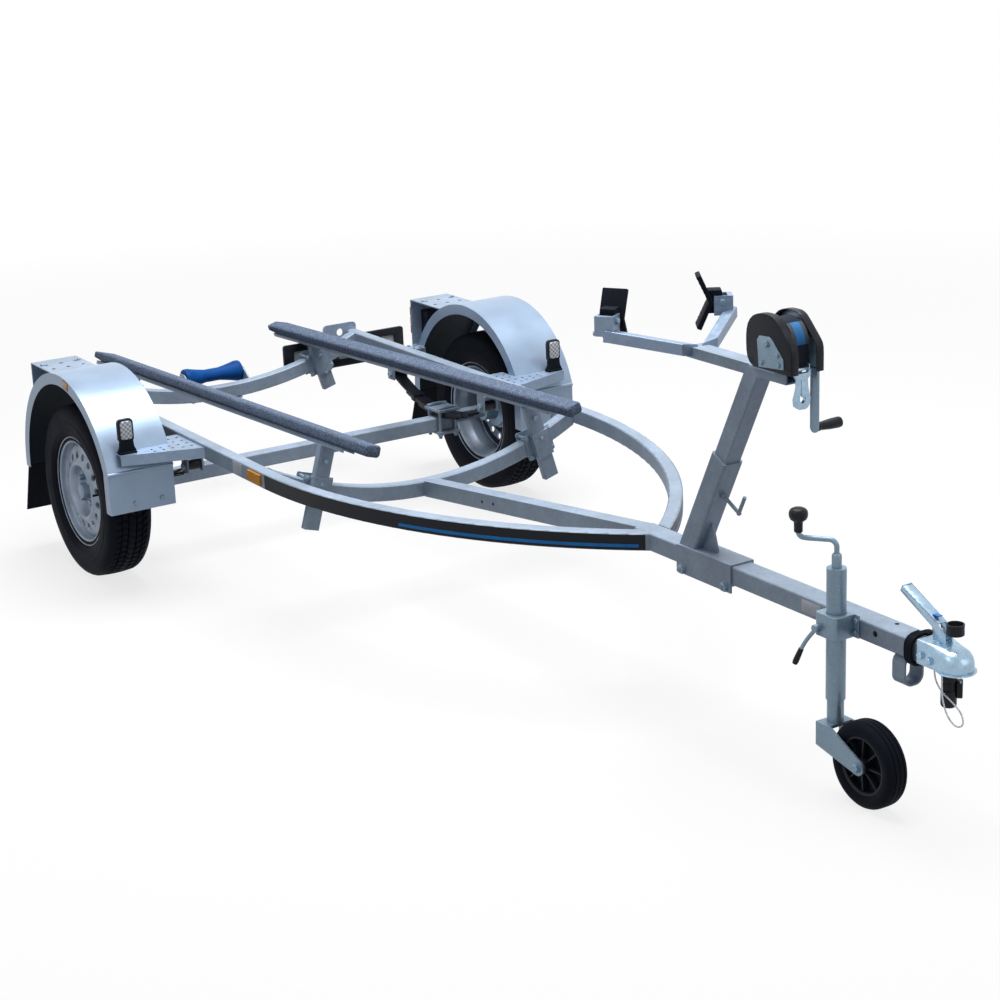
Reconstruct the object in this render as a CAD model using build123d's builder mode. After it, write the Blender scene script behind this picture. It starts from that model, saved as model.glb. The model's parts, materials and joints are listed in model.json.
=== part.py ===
"""Single-axle boat trailer.

A galvanised tube frame whose side rails sweep in to a central drawbar, two bowed
crossbeams, a leaf-sprung axle with road wheels and fenders, two carpeted bunks, a
keel roller, a winch post with a bow stop, a jockey wheel and a ball coupling.

Millimetres. +X points forward to the coupling, +Y to the trailer's left, +Z up.
The origin is on the ground and on the centre line, half way between the nose of
the coupling and the rear tips of the bunks.
"""
from build123d import *
import math
import os

os.makedirs("parts", exist_ok=True)

# ---------------------------------------------------------------- overall layout
nose_ahead = 3224       # coupling nose, ahead of the axle; the coupling and jockey follow it
tail_behind = 912       # rear tips of the bunks, behind the axle
axle_x = (tail_behind - nose_ahead) / 2
SIDES = [("right", -1), ("left", 1)]    # name, sign of Y

# ---------------------------------------------------------------- frame tubes
rail_top = 502          # top of rails and drawbar above the ground
rail_half = 585         # outer face of a rail from the centre line
rail_width = 40
rail_height = 50
rail_tail = 660         # rear end of the rails, behind the axle
tube_corner = 5
bend_ahead = 860        # the rails start to sweep in here
junction_ahead = 2060   # the rails' outer faces meet the drawbar here; the winch post follows
drawbar_width = 66
drawbar_height = 50
drawbar_start = junction_ahead - 70
drawbar_end = nose_ahead - 94
centre_bar_width = 50
centre_bar_height = 50
beam_depth = 40         # crossbeams, along X
beam_height = 50
front_beam_ahead = 840
front_beam_drop = 136   # crossbeam's middle below the rail top
rear_beam_ahead = -620
rear_beam_drop = 115
CROSSBEAMS = [          # name, ahead of axle, drop
    ("crossbeam_front", front_beam_ahead, front_beam_drop),
    ("crossbeam_rear", rear_beam_ahead, rear_beam_drop),
]
lug_width = 140         # tie-down lug at each rail's rear end
lug_height = 66
lug_thickness = 6
lug_hole_radius = 14
lug_inset = 70          # lug's centre, inboard of the rail's outer face
lug_drop = 4            # lug's centre below the rail top

# ---------------------------------------------------------------- wheels and axle
wheel_offset = 185      # rail's outer face to the middle of a wheel
track = 2 * (rail_half + wheel_offset)
tyre_radius = 287
tyre_width = 155
rim_seat_radius = 165
rim_seat_half = 57
rim_lip_radius = 182
rim_lip_thickness = 6
rim_wall = 5
disc_thickness = 5
vent_count = 16
vent_radius = 11
vent_circle = 138
wheel_bolt_count = 4
wheel_bolt_circle = 50
wheel_bolt_radius = 9
hub_flange_radius = 66
hub_barrel_radius = 36
hub_back = 45           # hub's back face, inboard of the wheel's middle
hub_face = 21           # where the wheel disc seats, outboard of the middle
dust_cap_radius = 27
spindle_radius = 15
running_clearance = 0.05
rim_barrel = rim_seat_radius - rim_wall
DISC = [                # wheel disc's outer face: outboard of the wheel's middle, radius
    (14, rim_barrel + 1), (20, rim_barrel - 7), (34, vent_circle - 16), (42, vent_circle - 26),
    (44, vent_circle - 38), (42, vent_circle - 48), (hub_face + disc_thickness, hub_flange_radius + 14),
    (hub_face + disc_thickness, 30),
]
axle_beam_size = 50
axle_beam_half = rail_half + 15
axle_beam_drop = 12     # beam's middle below the wheel's
stub_radius = 23
stub_gap = 1

# ---------------------------------------------------------------- leaf springs
spring_y = rail_half - 25
leaf_width = 45
leaf_thickness = 7
main_leaf = 310         # half lengths of the leaves
middle_leaf = 215
short_leaf = 130
LEAVES = [main_leaf, middle_leaf, short_leaf]
spring_rise = 80        # eyes above the middle of the top leaf
eye_radius = 17
eye_bolt_radius = 8
hanger_plate = 5
hanger_width = 44
clamp_plate_length = 100
clamp_plate_width = 86
clamp_plate_thickness = 8
clamp_bolt_radius = 6
clamp_bolt_ahead = 36
clamp_bolt_side = 32

# ---------------------------------------------------------------- fenders
fender_ahead = 20       # middle of the arch, ahead of the axle
fender_rise = 318       # middle of the arch above the ground
fender_radius = 372
fender_sheet = 3
fender_gap = 70         # rail's outer face to the fender
fender_width = 220
fender_inner = rail_half + fender_gap
fender_outer = fender_inner + fender_width
fender_lip = 36
fender_front_angle = 19
fender_rear_angle = 182
skirt_bottom = 302
skirt_bead_radius = 6
bracket_top = 148       # lamp bracket's top plate above the rail top
bracket_rear = 365      # lamp bracket's rear plate, behind the axle
bracket_front = 140
bracket_inner = fender_inner + 5
bracket_outer = bracket_inner + 160
bracket_height = 190
bracket_foot = 60
bracket_sheet = 4
bracket_hole_radius = 7
lamp_width = 130
lamp_height = 108
lamp_depth = 42
lamp_back_width = 76
lamp_back_height = 84
lamp_back_depth = 46
lamp_drop = 86          # lamp's middle below the bracket's top
step_top = 9            # step plate below the rail top
step_thickness = 4
step_flange = 34
step_rear = 265
step_front_inner = 466
step_front_outer = 386
step_outer = fender_inner + 177
step_hole_radius = 5
step_reach = 250        # the plate runs this far ahead of the arch's middle, beside the fender
step_holes_ahead = 360  # four rows of two holes
step_holes_out = 35     # from the rail's outer face
step_holes_gap = 38
step_rows_gap = 30
outer_holes_ahead = 390     # two rows of three holes, further out
outer_holes_out = 110
outer_holes_gap = 26
stay_rear = 320         # rear fender stay, behind the axle
stay_width = 60
stay_height = 34
stay_drop = 14
flap_bottom = 130
flap_top = 338
flap_thickness = 6
flap_lean = 64
flap_inset = 8
marker_ahead = 367
marker_side = step_outer - 30
marker_base_height = 24
marker_top = 102        # above the rail top
marker_width = 58
marker_depth = 28
reflector_ahead = 817
reflector_length = 84
reflector_height = 32
reflector_depth = 6

# ---------------------------------------------------------------- bunks
bunk_y = 352
bunk_tilt = 16.5        # degrees, tops leaning inwards
bunk_pitch = 2.33       # degrees, climbing forward
bunk_rise = 58          # top of the bunk over the axle, above the rail top
bunk_front = 1150
bunk_width = 54
bunk_height = 38
bunk_corner = 11
bunk_taper = 95
channel_height = 12
channel_width = 40
channel_rear = 880
channel_front = 1010
post_width = 52
post_depth = 24
post_front_tail = 205   # foot of the front posts below the rail top
post_rear_tail = 185
POSTS = [               # ahead of axle, crossbeam's drop, foot below the rail top
    (front_beam_ahead, front_beam_drop, post_front_tail),
    (rear_beam_ahead, rear_beam_drop, post_rear_tail),
]
strap_plate = 4
strap_flange = 20
strap_bolt_radius = 5
post_fit = 0.3

# ---------------------------------------------------------------- keel roller
roller_ahead = -722
roller_rise = 43        # roller's axis above the rear crossbeam's middle
roller_length = 228
roller_end_radius = 38
roller_waist_radius = 24
roller_hub_radius = 20
roller_pin_radius = 9
cradle_plate = 5
cradle_gap = 1.5
cradle_height = 44
cradle_base = 62

# ---------------------------------------------------------------- winch post
post_lean = 27          # degrees forward from upright
sleeve_foot = junction_ahead + 156      # sleeve's axis at the saddle's top
sleeve_size = 60
sleeve_length = 300
sleeve_wall = 4.7
screw_drop = 103        # lock screw below the sleeve's top, along the post
screw_reach = 78
screw_handle = 58
winch_post_size = 50
winch_post_start = 70   # along the lean, from the saddle's top
saddle_rear = sleeve_foot - 33
saddle_front = saddle_rear + 226
saddle_plate = 5
saddle_drop = 71        # saddle's side plates below its top plate
gusset_length = 62
gusset_height = 74
gusset_thickness = 6
platform_bottom = 512   # winch platform above the rail top
platform_height = 28
platform_width = 50
post_head = sleeve_foot + (platform_bottom - saddle_plate) * math.tan(math.radians(post_lean))
platform_rear = post_head - 230
platform_front = post_head + 136
fork_start = platform_rear + 24
fork_end = platform_rear - 130
fork_spread = 205
fork_rise = 51
fork_size = 30
pad_yaw = 57            # degrees the pads face inwards from straight back
pad_height = 146
pad_width = 68
pad_depth = 32
pad_thickness = 12
pad_boss_length = 34
pad_boss_height = 52
pad_shoe_length = 44
pad_shoe_height = 62
pad_shoe_width = 42
pad_lift = 32
winch_ahead = post_head + 98
winch_rise = platform_bottom + 100      # drum's axis above the rail top
cheek_gap = 88          # between the insides of the cheeks
cheek_thickness = 6
cheek_rear = winch_ahead - 82
cheek_front = winch_ahead + 90
cheek_top = winch_rise + 70
cheek_corner = 52
cheek_slope = 76        # cut off the cheek's upper front corner
winch_base = 6
base_front = winch_ahead + 16
drum_core_radius = 22
drum_bolt_radius = 8
wound_radius = 60
strap_width = 50
strap_thickness = 3
strap_bottom = winch_rise - 64
gear_radius = 51
gear_width = 10
pinion_radius = 14.2
gear_side = 36          # middle of the gears from the centre line
drum_clearance = 1.5
crank_ahead = winch_ahead + 32
crank_rise = winch_rise - 58
crank_shaft_radius = 8
crank_arm_length = 164
crank_arm_width = 28
crank_arm_thickness = 8
crank_side = 66         # inner face of the crank arm from the centre line
grip_length = 80
grip_radius = 14
hook_length = 112
hook_width = 40
hook_thickness = 14
hook_hole = 40
hook_hole_drop = 16     # hole's middle below the hook's

# ---------------------------------------------------------------- jockey wheel
jockey_ahead = nose_ahead - 384
jockey_gap = 5          # drawbar's side to the jockey tube
jockey_tube_radius = 24
jockey_tube_wall = 3
jockey_tube_top = 122   # above the rail top
jockey_tube_bottom = 209
jockey_inner_radius = 20.6
jockey_inner_reach = 300
jockey_radius = 108
jockey_width = 62
jockey_trail = 122
jockey_ground_gap = 57  # jockey wheel's lowest point above the tyres' ground
jockey_fork_plate = 5
jockey_fork_gap = 3
jockey_fork_eye = 20
jockey_fork_side = 60   # length of the fork's upright rear edge
jockey_axle_radius = 8
jockey_crown = 8
jockey_crown_rise = 70  # crown's top above the jockey wheel's axle
jockey_crown_front = 20
jockey_fork_rear = 26
clamp_height = 58
clamp_wall = 8
lever_boss = 24         # lever's eye behind the jockey tube's axis
lever_run = 48          # backwards from eye to tip
lever_spread = 30
lever_drop = 99
crank_nut = 36
crank_rod = 76          # crank arm's top above the tube's top
crank_reach = 92
knob_stem = 32
knob_height = 34
knob_radius = 23

# ---------------------------------------------------------------- coupling
nose_radius = 48
ball_ahead = nose_ahead - nose_radius
socket_radius = 25.4
socket_depth = 22
coupling_wall = 4
coupling_flange = 3
coupling_rear = ball_ahead - 88
coupling_top = 10       # above the rail top
coupling_height = 58
HANDLE = [              # ahead of the ball, above the rail top
    (-68, 10), (-24, 10), (-26, 40), (-42, 56), (-164, 116), (-172, 98), (-58, 42),
]
handle_width = 30
dock_ahead = ball_ahead - 4
dock_rise = 38
dock_height = 26
dock_radius = 21
dock_wall = 3.5

# ---------------------------------------------------------------- wiring
cable_diameter = 8
coil_rear = coupling_rear - 38
coil_length = 34
coil_clearance = 0.5
coil_section = 16
coil_corner = 24
plug_drop = 54          # plug's top below the rail top
plug_length = 100
plug_radius = 19
gland_radius = 8
flap_turn = 45          # degrees the plug's flap faces to the left of forward
LEAD = [                # ahead of the ball, Y, above the rail top
    (-92, 4, -58.5), (-77, 4, -58.5), (-62, 12, -61.5),
]
gland_length = 22
tether_diameter = 4
TETHER = [              # ahead of the ball, Y, above the rail top
    (-38, -29, -48), (-38, -29, -70), (-16, -29, -96), (20, -29, -110), (52, -29, -128),
    (62, -31, -154), (40, -34, -166), (12, -37, -144), (-4, -37, -104), (-8, -34, -76),
    (-8, -34, -48),
]
loop_rear = coil_rear - 50
loop_length = 42
loop_width = 60
loop_drop = 78
loop_sheet = 5
holder_width = 520
holder_height = 116
holder_thickness = 12
holder_y = rail_half - 40
holder_top = 28
band_thickness = 1


# ================================================================ helpers
def ahead(distance):
    """X of a place this far ahead of the axle."""
    return axle_x + distance


def over(height):
    """Z of a place this far above the rail top."""
    return rail_top + height


def write(piece, label):
    """Name a finished piece and write its file."""
    piece.part.label = label
    export_step(piece.part, f"parts/{label}.step")


def rod(start, end, radius, mode=Mode.ADD):
    """A round bar between two points, in the part being built."""
    start = Vector(*start)
    end = Vector(*end)
    with BuildSketch(Plane(origin=start, z_dir=end - start)) as disc:
        Circle(radius)
    extrude(disc.sketch, amount=(end - start).length, mode=mode)


def block(low, high, mode=Mode.ADD):
    """A box between two opposite corners, in the part being built."""
    middle = [(a + b) / 2 for a, b in zip(low, high)]
    sizes = [abs(b - a) for a, b in zip(low, high)]
    with Locations(tuple(middle)):
        Box(*sizes, mode=mode)


def side_block(side, low, high, mode=Mode.ADD):
    """A block given for the left side, put on either side."""
    block((low[0], side * low[1], low[2]), (high[0], side * high[1], high[2]), mode)


# ================================================================ frame
reach = junction_ahead - bend_ahead
inset = rail_half - drawbar_width / 2
rail_outer_radius = (reach**2 + inset**2) / (2 * inset)
rail_middle_radius = rail_outer_radius - rail_width / 2
rail_middle_y = rail_half - rail_width / 2
rail_turn = math.degrees(math.asin(reach / rail_outer_radius)) + 3

for name, side in SIDES:
    with BuildPart() as rail:
        with BuildLine(Plane.XY.offset(over(-rail_height / 2))) as path:
            Line(
                (ahead(-rail_tail), side * rail_middle_y),
                (ahead(bend_ahead), side * rail_middle_y),
            )
            CenterArc(
                (ahead(bend_ahead), side * (rail_middle_y - rail_middle_radius)),
                rail_middle_radius,
                90 * side,
                -rail_turn * side,
            )
        with BuildSketch(Plane(origin=path.line @ 0, x_dir=(0, 1, 0), z_dir=(1, 0, 0))):
            RectangleRounded(rail_width, rail_height, tube_corner)
        sweep()
        drawbar_side = Plane(origin=(0, side * drawbar_width / 2, 0), z_dir=(0, side, 0))
        split(bisect_by=drawbar_side, keep=Keep.TOP)
        rail_end = Plane(origin=(ahead(-rail_tail), 0, 0), x_dir=(0, 1, 0), z_dir=(1, 0, 0))
        with BuildSketch(rail_end):
            with Locations((side * (rail_half - lug_inset), over(-lug_drop))):
                RectangleRounded(lug_width, lug_height, 16)
                Circle(lug_hole_radius, mode=Mode.SUBTRACT)
        extrude(amount=-lug_thickness)
    write(rail, f"rail_{name}")

with BuildPart() as drawbar:
    drawbar_back = (ahead(drawbar_start), 0, over(-drawbar_height / 2))
    with BuildSketch(Plane(origin=drawbar_back, x_dir=(0, 1, 0), z_dir=(1, 0, 0))):
        RectangleRounded(drawbar_width, drawbar_height, tube_corner)
    extrude(amount=drawbar_end - drawbar_start)
write(drawbar, "drawbar")

with BuildPart() as centre_bar:
    bar_rear = ahead(front_beam_ahead + beam_depth / 2)
    bar_low = over(-front_beam_drop)
    with BuildSketch(Plane.XZ):
        with BuildLine():
            Polyline(
                (bar_rear, bar_low),
                (ahead(drawbar_start), rail_top),
                (ahead(drawbar_start), over(-centre_bar_height)),
                (bar_rear, bar_low - centre_bar_height),
                close=True,
            )
        make_face()
    extrude(amount=centre_bar_width / 2, both=True)
write(centre_bar, "centre_bar")

beam_half = rail_half - rail_width
for name, place, drop in CROSSBEAMS:
    bow_radius = (beam_half**2 + drop**2) / (2 * drop)
    bow_centre = over(-drop) + bow_radius
    under_radius = bow_radius + beam_height
    end_low = bow_centre - math.sqrt(under_radius**2 - beam_half**2)
    with BuildPart() as beam:
        with BuildSketch(Plane.YZ.offset(ahead(place) - beam_depth / 2)):
            with BuildLine():
                ThreePointArc((-beam_half, rail_top), (0, over(-drop)), (beam_half, rail_top))
                ThreePointArc(
                    (-beam_half, end_low),
                    (0, over(-drop - beam_height)),
                    (beam_half, end_low),
                )
                Line((-beam_half, rail_top), (-beam_half, end_low))
                Line((beam_half, rail_top), (beam_half, end_low))
            make_face()
        extrude(amount=beam_depth)
        chamfer(beam.edges().filter_by(GeomType.CIRCLE), tube_corner - 1)
    write(beam, name)

# ================================================================ axle and wheels
wheel_z = tyre_radius
beam_z = wheel_z - axle_beam_drop
spindle_shoulder = track / 2 - hub_back - stub_gap

with BuildPart() as axle:
    with BuildSketch(Plane(origin=(axle_x, -axle_beam_half, beam_z), x_dir=(1, 0, 0), z_dir=(0, 1, 0))):
        RectangleRounded(axle_beam_size, axle_beam_size, tube_corner)
    extrude(amount=2 * axle_beam_half)
    for name, side in SIDES:
        inner_end = (axle_x, side * (axle_beam_half - 12), wheel_z)
        shoulder = (axle_x, side * spindle_shoulder, wheel_z)
        spindle_end = (axle_x, side * (track / 2 + hub_face), wheel_z)
        rod(inner_end, shoulder, stub_radius)
        rod(shoulder, spindle_end, spindle_radius)
write(axle, "axle")

for name, side in SIDES:
    middle = (axle_x, side * track / 2, wheel_z)
    across = Plane(origin=middle, x_dir=(0, 1, 0), z_dir=(1, 0, 0))
    spin_axis = Axis(middle, (0, 1, 0))
    sidewall = tyre_width / 2

    with BuildPart() as tyre:
        with BuildSketch(across):
            with BuildLine():
                Line((-rim_seat_half, rim_seat_radius), (rim_seat_half, rim_seat_radius))
                Line((rim_seat_half, rim_seat_radius), (rim_seat_half, rim_lip_radius + 2))
                ThreePointArc(
                    (rim_seat_half, rim_lip_radius + 2),
                    (sidewall, tyre_radius - 62),
                    (sidewall - 7, tyre_radius - 18),
                )
                ThreePointArc(
                    (sidewall - 7, tyre_radius - 18),
                    (sidewall - 12, tyre_radius - 7),
                    (sidewall - 22, tyre_radius - 2),
                )
                ThreePointArc(
                    (sidewall - 22, tyre_radius - 2),
                    (0, tyre_radius),
                    (22 - sidewall, tyre_radius - 2),
                )
                ThreePointArc(
                    (22 - sidewall, tyre_radius - 2),
                    (12 - sidewall, tyre_radius - 7),
                    (7 - sidewall, tyre_radius - 18),
                )
                ThreePointArc(
                    (7 - sidewall, tyre_radius - 18),
                    (-sidewall, tyre_radius - 62),
                    (-rim_seat_half, rim_lip_radius + 2),
                )
                Line((-rim_seat_half, rim_lip_radius + 2), (-rim_seat_half, rim_seat_radius))
            make_face()
        revolve(axis=spin_axis)
    write(tyre, f"tyre_{name}")

    lip_out = rim_seat_half + rim_lip_thickness
    with BuildPart() as rim:
        with BuildSketch(across):
            with BuildLine():
                Polyline(
                    (-lip_out, rim_lip_radius),
                    (-rim_seat_half, rim_lip_radius),
                    (-rim_seat_half, rim_seat_radius),
                    (rim_seat_half, rim_seat_radius),
                    (rim_seat_half, rim_lip_radius),
                    (lip_out, rim_lip_radius),
                    (lip_out, rim_barrel),
                    (-lip_out, rim_barrel),
                    close=True,
                )
            make_face()
        revolve(axis=spin_axis)
        outer_face = [(side * out, radius) for out, radius in DISC]
        inner_face = [(side * (out - disc_thickness), radius) for out, radius in reversed(DISC)]
        with BuildSketch(across):
            with BuildLine():
                Polyline(*outer_face, *inner_face, close=True)
            make_face()
        revolve(axis=spin_axis)
        face_plane = Plane(origin=middle, x_dir=(1, 0, 0), z_dir=(0, side, 0))
        with BuildSketch(face_plane):
            with PolarLocations(vent_circle, vent_count):
                Circle(vent_radius)
        extrude(amount=lip_out, mode=Mode.SUBTRACT)
    write(rim, f"rim_{name}")

    with BuildPart() as hub:
        with BuildSketch(across):
            with BuildLine():
                Polyline(
                    (-side * hub_back, spindle_radius + running_clearance),
                    (-side * hub_back, hub_barrel_radius),
                    (side * (hub_face - 12), hub_barrel_radius),
                    (side * (hub_face - 12), hub_flange_radius),
                    (side * hub_face, hub_flange_radius),
                    (side * hub_face, dust_cap_radius),
                    (side * (hub_face + 34), dust_cap_radius - 1),
                    (side * (hub_face + 40), dust_cap_radius - 7),
                    (side * (hub_face + 40), 0),
                    (side * (hub_face + 3), 0),
                    (side * (hub_face + 3), spindle_radius + running_clearance),
                    close=True,
                )
            make_face()
        revolve(axis=spin_axis)
        bolt_face = Plane(
            origin=(axle_x, side * (track / 2 + hub_face + disc_thickness), wheel_z),
            x_dir=(1, 0, 0),
            z_dir=(0, side, 0),
        )
        with BuildSketch(bolt_face):
            with PolarLocations(wheel_bolt_circle, wheel_bolt_count, start_angle=45):
                RegularPolygon(wheel_bolt_radius, 6)
        extrude(amount=12)
    write(hub, f"hub_{name}")

# ================================================================ leaf springs
leaf_radius = (LEAVES[0] ** 2 + spring_rise**2) / (2 * spring_rise)
pack_bottom = beam_z + axle_beam_size / 2
top_leaf_z = pack_bottom + leaf_thickness * (len(LEAVES) - 0.5)
eye_z = top_leaf_z + spring_rise
arc_centre_z = top_leaf_z + leaf_radius

with BuildPart() as leaf_springs:
    for name, side in SIDES:
        near_face = Plane(origin=(axle_x, side * spring_y, 0), x_dir=(1, 0, 0), z_dir=(0, -1, 0))
        for index, half in enumerate(LEAVES):
            radius = leaf_radius + index * leaf_thickness
            sweep_half = math.degrees(math.asin(half / radius))
            low = radius + leaf_thickness / 2
            high = radius - leaf_thickness / 2
            with BuildSketch(near_face):
                with BuildLine():
                    under = CenterArc((0, arc_centre_z), low, -90 - sweep_half, 2 * sweep_half)
                    upper = CenterArc((0, arc_centre_z), high, -90 - sweep_half, 2 * sweep_half)
                    Line(under @ 0, upper @ 0)
                    Line(under @ 1, upper @ 1)
                make_face()
            extrude(amount=leaf_width / 2, both=True)
        for end in (-1, 1):
            eye_x = axle_x + end * LEAVES[0]
            near_edge = side * spring_y - leaf_width / 2
            far_edge = side * spring_y + leaf_width / 2
            rod((eye_x, near_edge, eye_z), (eye_x, far_edge, eye_z), eye_radius)
        for end in (-1, 1):
            eye_x = axle_x + end * LEAVES[0]
            rod(
                (eye_x, side * spring_y - leaf_width, eye_z),
                (eye_x, side * spring_y + leaf_width, eye_z),
                eye_bolt_radius + running_clearance,
                Mode.SUBTRACT,
            )
write(leaf_springs, "leaf_springs")

hanger_half = leaf_width / 2 + 1
with BuildPart() as spring_hangers:
    for name, side in SIDES:
        for end in (-1, 1):
            eye_x = axle_x + end * LEAVES[0]
            for edge in (-1, 1):
                plate_y = side * spring_y + edge * (hanger_half + hanger_plate / 2)
                block(
                    (eye_x - hanger_width / 2, plate_y - hanger_plate / 2, eye_z - 20),
                    (eye_x + hanger_width / 2, plate_y + hanger_plate / 2, over(-rail_height)),
                )
            block(
                (eye_x - hanger_width / 2, side * spring_y - hanger_half, over(-rail_height) - hanger_plate),
                (eye_x + hanger_width / 2, side * spring_y + hanger_half, over(-rail_height)),
            )
            bolt_half = hanger_half + hanger_plate + 6
            rod(
                (eye_x, side * spring_y - bolt_half, eye_z),
                (eye_x, side * spring_y + bolt_half, eye_z),
                eye_bolt_radius,
            )
write(spring_hangers, "spring_hangers")

pack_top = pack_bottom + leaf_thickness * len(LEAVES)
upper_radius = leaf_radius - leaf_thickness / 2
clamp_seat = pack_top + upper_radius - math.sqrt(upper_radius**2 - (clamp_plate_length / 2) ** 2)
with BuildPart() as axle_clamps:
    for name, side in SIDES:
        half_length = clamp_plate_length / 2
        half_width = clamp_plate_width / 2
        under_beam = beam_z - axle_beam_size / 2
        block(
            (axle_x - half_length, side * spring_y - half_width, under_beam - clamp_plate_thickness),
            (axle_x + half_length, side * spring_y + half_width, under_beam),
        )
        block(
            (axle_x - half_length, side * spring_y - half_width, clamp_seat),
            (axle_x + half_length, side * spring_y + half_width, clamp_seat + clamp_plate_thickness),
        )
        for end in (-1, 1):
            for edge in (-1, 1):
                bolt_x = axle_x + end * clamp_bolt_ahead
                bolt_y = side * spring_y + edge * clamp_bolt_side
                rod(
                    (bolt_x, bolt_y, under_beam - clamp_plate_thickness - 16),
                    (bolt_x, bolt_y, clamp_seat + clamp_plate_thickness + 8),
                    clamp_bolt_radius,
                )
write(axle_clamps, "axle_clamps")

# ================================================================ fenders
arch = (ahead(fender_ahead), fender_rise)
fender_inside = fender_radius - fender_sheet
skirt_x = arch[0] + fender_radius * math.cos(math.radians(fender_front_angle))
skirt_top = arch[1] + fender_radius * math.sin(math.radians(fender_front_angle))
arch_span = fender_rear_angle - fender_front_angle


def arch_band(across, inner, outer):
    """A ring sector about the middle of the arch, at this Y."""
    with BuildSketch(Plane.XZ.offset(-across)) as band:
        with BuildLine():
            inside = CenterArc(arch, inner, fender_front_angle, arch_span)
            outside = CenterArc(arch, outer, fender_front_angle, arch_span)
            Line(inside @ 0, outside @ 0)
            Line(inside @ 1, outside @ 1)
        make_face()
    return band.sketch


def cut_arch(side):
    """Take the fender's arch away from the part being built."""
    with BuildSketch(Plane.XZ.offset(-side * fender_inner)) as round_arch:
        with Locations(arch):
            Circle(fender_radius)
    extrude(round_arch.sketch, amount=-side * (fender_outer - fender_inner), mode=Mode.SUBTRACT)


for name, side in SIDES:
    with BuildPart() as fender:
        top_band = arch_band(side * fender_inner, fender_inside, fender_radius)
        extrude(top_band, amount=-side * fender_width)
        for edge in (fender_inner, fender_outer - fender_sheet):
            lip = arch_band(side * edge, fender_radius - fender_lip, fender_radius)
            extrude(lip, amount=-side * fender_sheet)
            side_block(
                side,
                (skirt_x - fender_lip, edge, skirt_bottom),
                (skirt_x, edge + fender_sheet, skirt_top),
            )
        side_block(
            side,
            (skirt_x - fender_sheet, fender_inner, skirt_bottom),
            (skirt_x, fender_outer, skirt_top),
        )
        rod(
            (skirt_x - 1, side * fender_inner, skirt_top - skirt_bead_radius),
            (skirt_x - 1, side * fender_outer, skirt_top - skirt_bead_radius),
            skirt_bead_radius,
        )
    write(fender, f"fender_{name}")

bracket_z = over(bracket_top)
lamp_y = (bracket_inner + bracket_outer) / 2
lamp_z = bracket_z - lamp_drop
with BuildPart() as lamp_brackets:
    for name, side in SIDES:
        rear_x = ahead(-bracket_rear)
        side_block(
            side,
            (rear_x, bracket_inner, bracket_z - bracket_sheet),
            (ahead(-bracket_front), bracket_outer, bracket_z),
        )
        side_block(
            side,
            (rear_x, bracket_inner, bracket_z - bracket_height),
            (rear_x + bracket_sheet, bracket_outer, bracket_z),
        )
        side_block(
            side,
            (rear_x, bracket_inner, bracket_z - bracket_height),
            (rear_x + bracket_foot, bracket_outer, bracket_z - bracket_height + bracket_sheet),
        )
        cut_arch(side)
        side_block(
            side,
            (rear_x - 1, lamp_y - lamp_back_width / 2, lamp_z - lamp_back_height / 2),
            (rear_x + 10, lamp_y + lamp_back_width / 2, lamp_z + lamp_back_height / 2),
            Mode.SUBTRACT,
        )
        with BuildSketch(Plane.XY.offset(bracket_z)) as holes:
            with Locations((ahead(-bracket_rear + 102), side * lamp_y)):
                with GridLocations(66, 52, 2, 3):
                    Circle(bracket_hole_radius)
        extrude(holes.sketch, amount=-2 * bracket_sheet, mode=Mode.SUBTRACT)
write(lamp_brackets, "lamp_brackets")

with BuildPart() as tail_lamps:
    for name, side in SIDES:
        rear_x = ahead(-bracket_rear)
        side_block(
            side,
            (rear_x - lamp_depth, lamp_y - lamp_width / 2, lamp_z - lamp_height / 2),
            (rear_x, lamp_y + lamp_width / 2, lamp_z + lamp_height / 2),
        )
        side_block(
            side,
            (rear_x, lamp_y - lamp_back_width / 2 + 1, lamp_z - lamp_back_height / 2 + 1),
            (rear_x + lamp_back_depth, lamp_y + lamp_back_width / 2 - 1, lamp_z + lamp_back_height / 2 - 1),
        )
write(tail_lamps, "tail_lamps")

step_z = over(-step_top)
with BuildPart() as step_plates:
    for name, side in SIDES:
        outline = [
            (ahead(step_rear), side * rail_half),
            (ahead(step_front_inner), side * rail_half),
            (ahead(step_front_outer), side * step_outer),
            (ahead(fender_ahead + step_reach), side * step_outer),
            (ahead(fender_ahead + step_reach), side * fender_inner),
            (ahead(step_rear), side * fender_inner),
        ]
        with BuildSketch(Plane.XY.offset(step_z - step_thickness)) as tread:
            with BuildLine():
                Polyline(*outline, close=True)
            make_face()
        extrude(tread.sketch, amount=step_thickness)
        flange_line = [
            (ahead(step_front_inner), side * rail_half),
            (ahead(step_front_outer), side * step_outer),
            (ahead(step_front_outer - step_thickness), side * step_outer),
            (ahead(step_front_inner - step_thickness), side * rail_half),
        ]
        with BuildSketch(Plane.XY.offset(step_z - step_flange)) as flange:
            with BuildLine():
                Polyline(*flange_line, close=True)
            make_face()
        extrude(flange.sketch, amount=step_flange)
        cut_arch(side)
        with BuildSketch(Plane.XY.offset(step_z + 1)) as perforation:
            with Locations((ahead(step_holes_ahead), side * (rail_half + step_holes_out))):
                with GridLocations(step_holes_gap, step_rows_gap, 4, 2):
                    Circle(step_hole_radius)
            with Locations((ahead(outer_holes_ahead), side * (rail_half + outer_holes_out))):
                with GridLocations(outer_holes_gap, step_rows_gap, 2, 3):
                    Circle(step_hole_radius)
        extrude(perforation.sketch, amount=-3 * step_thickness, mode=Mode.SUBTRACT)
write(step_plates, "step_plates")

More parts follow.
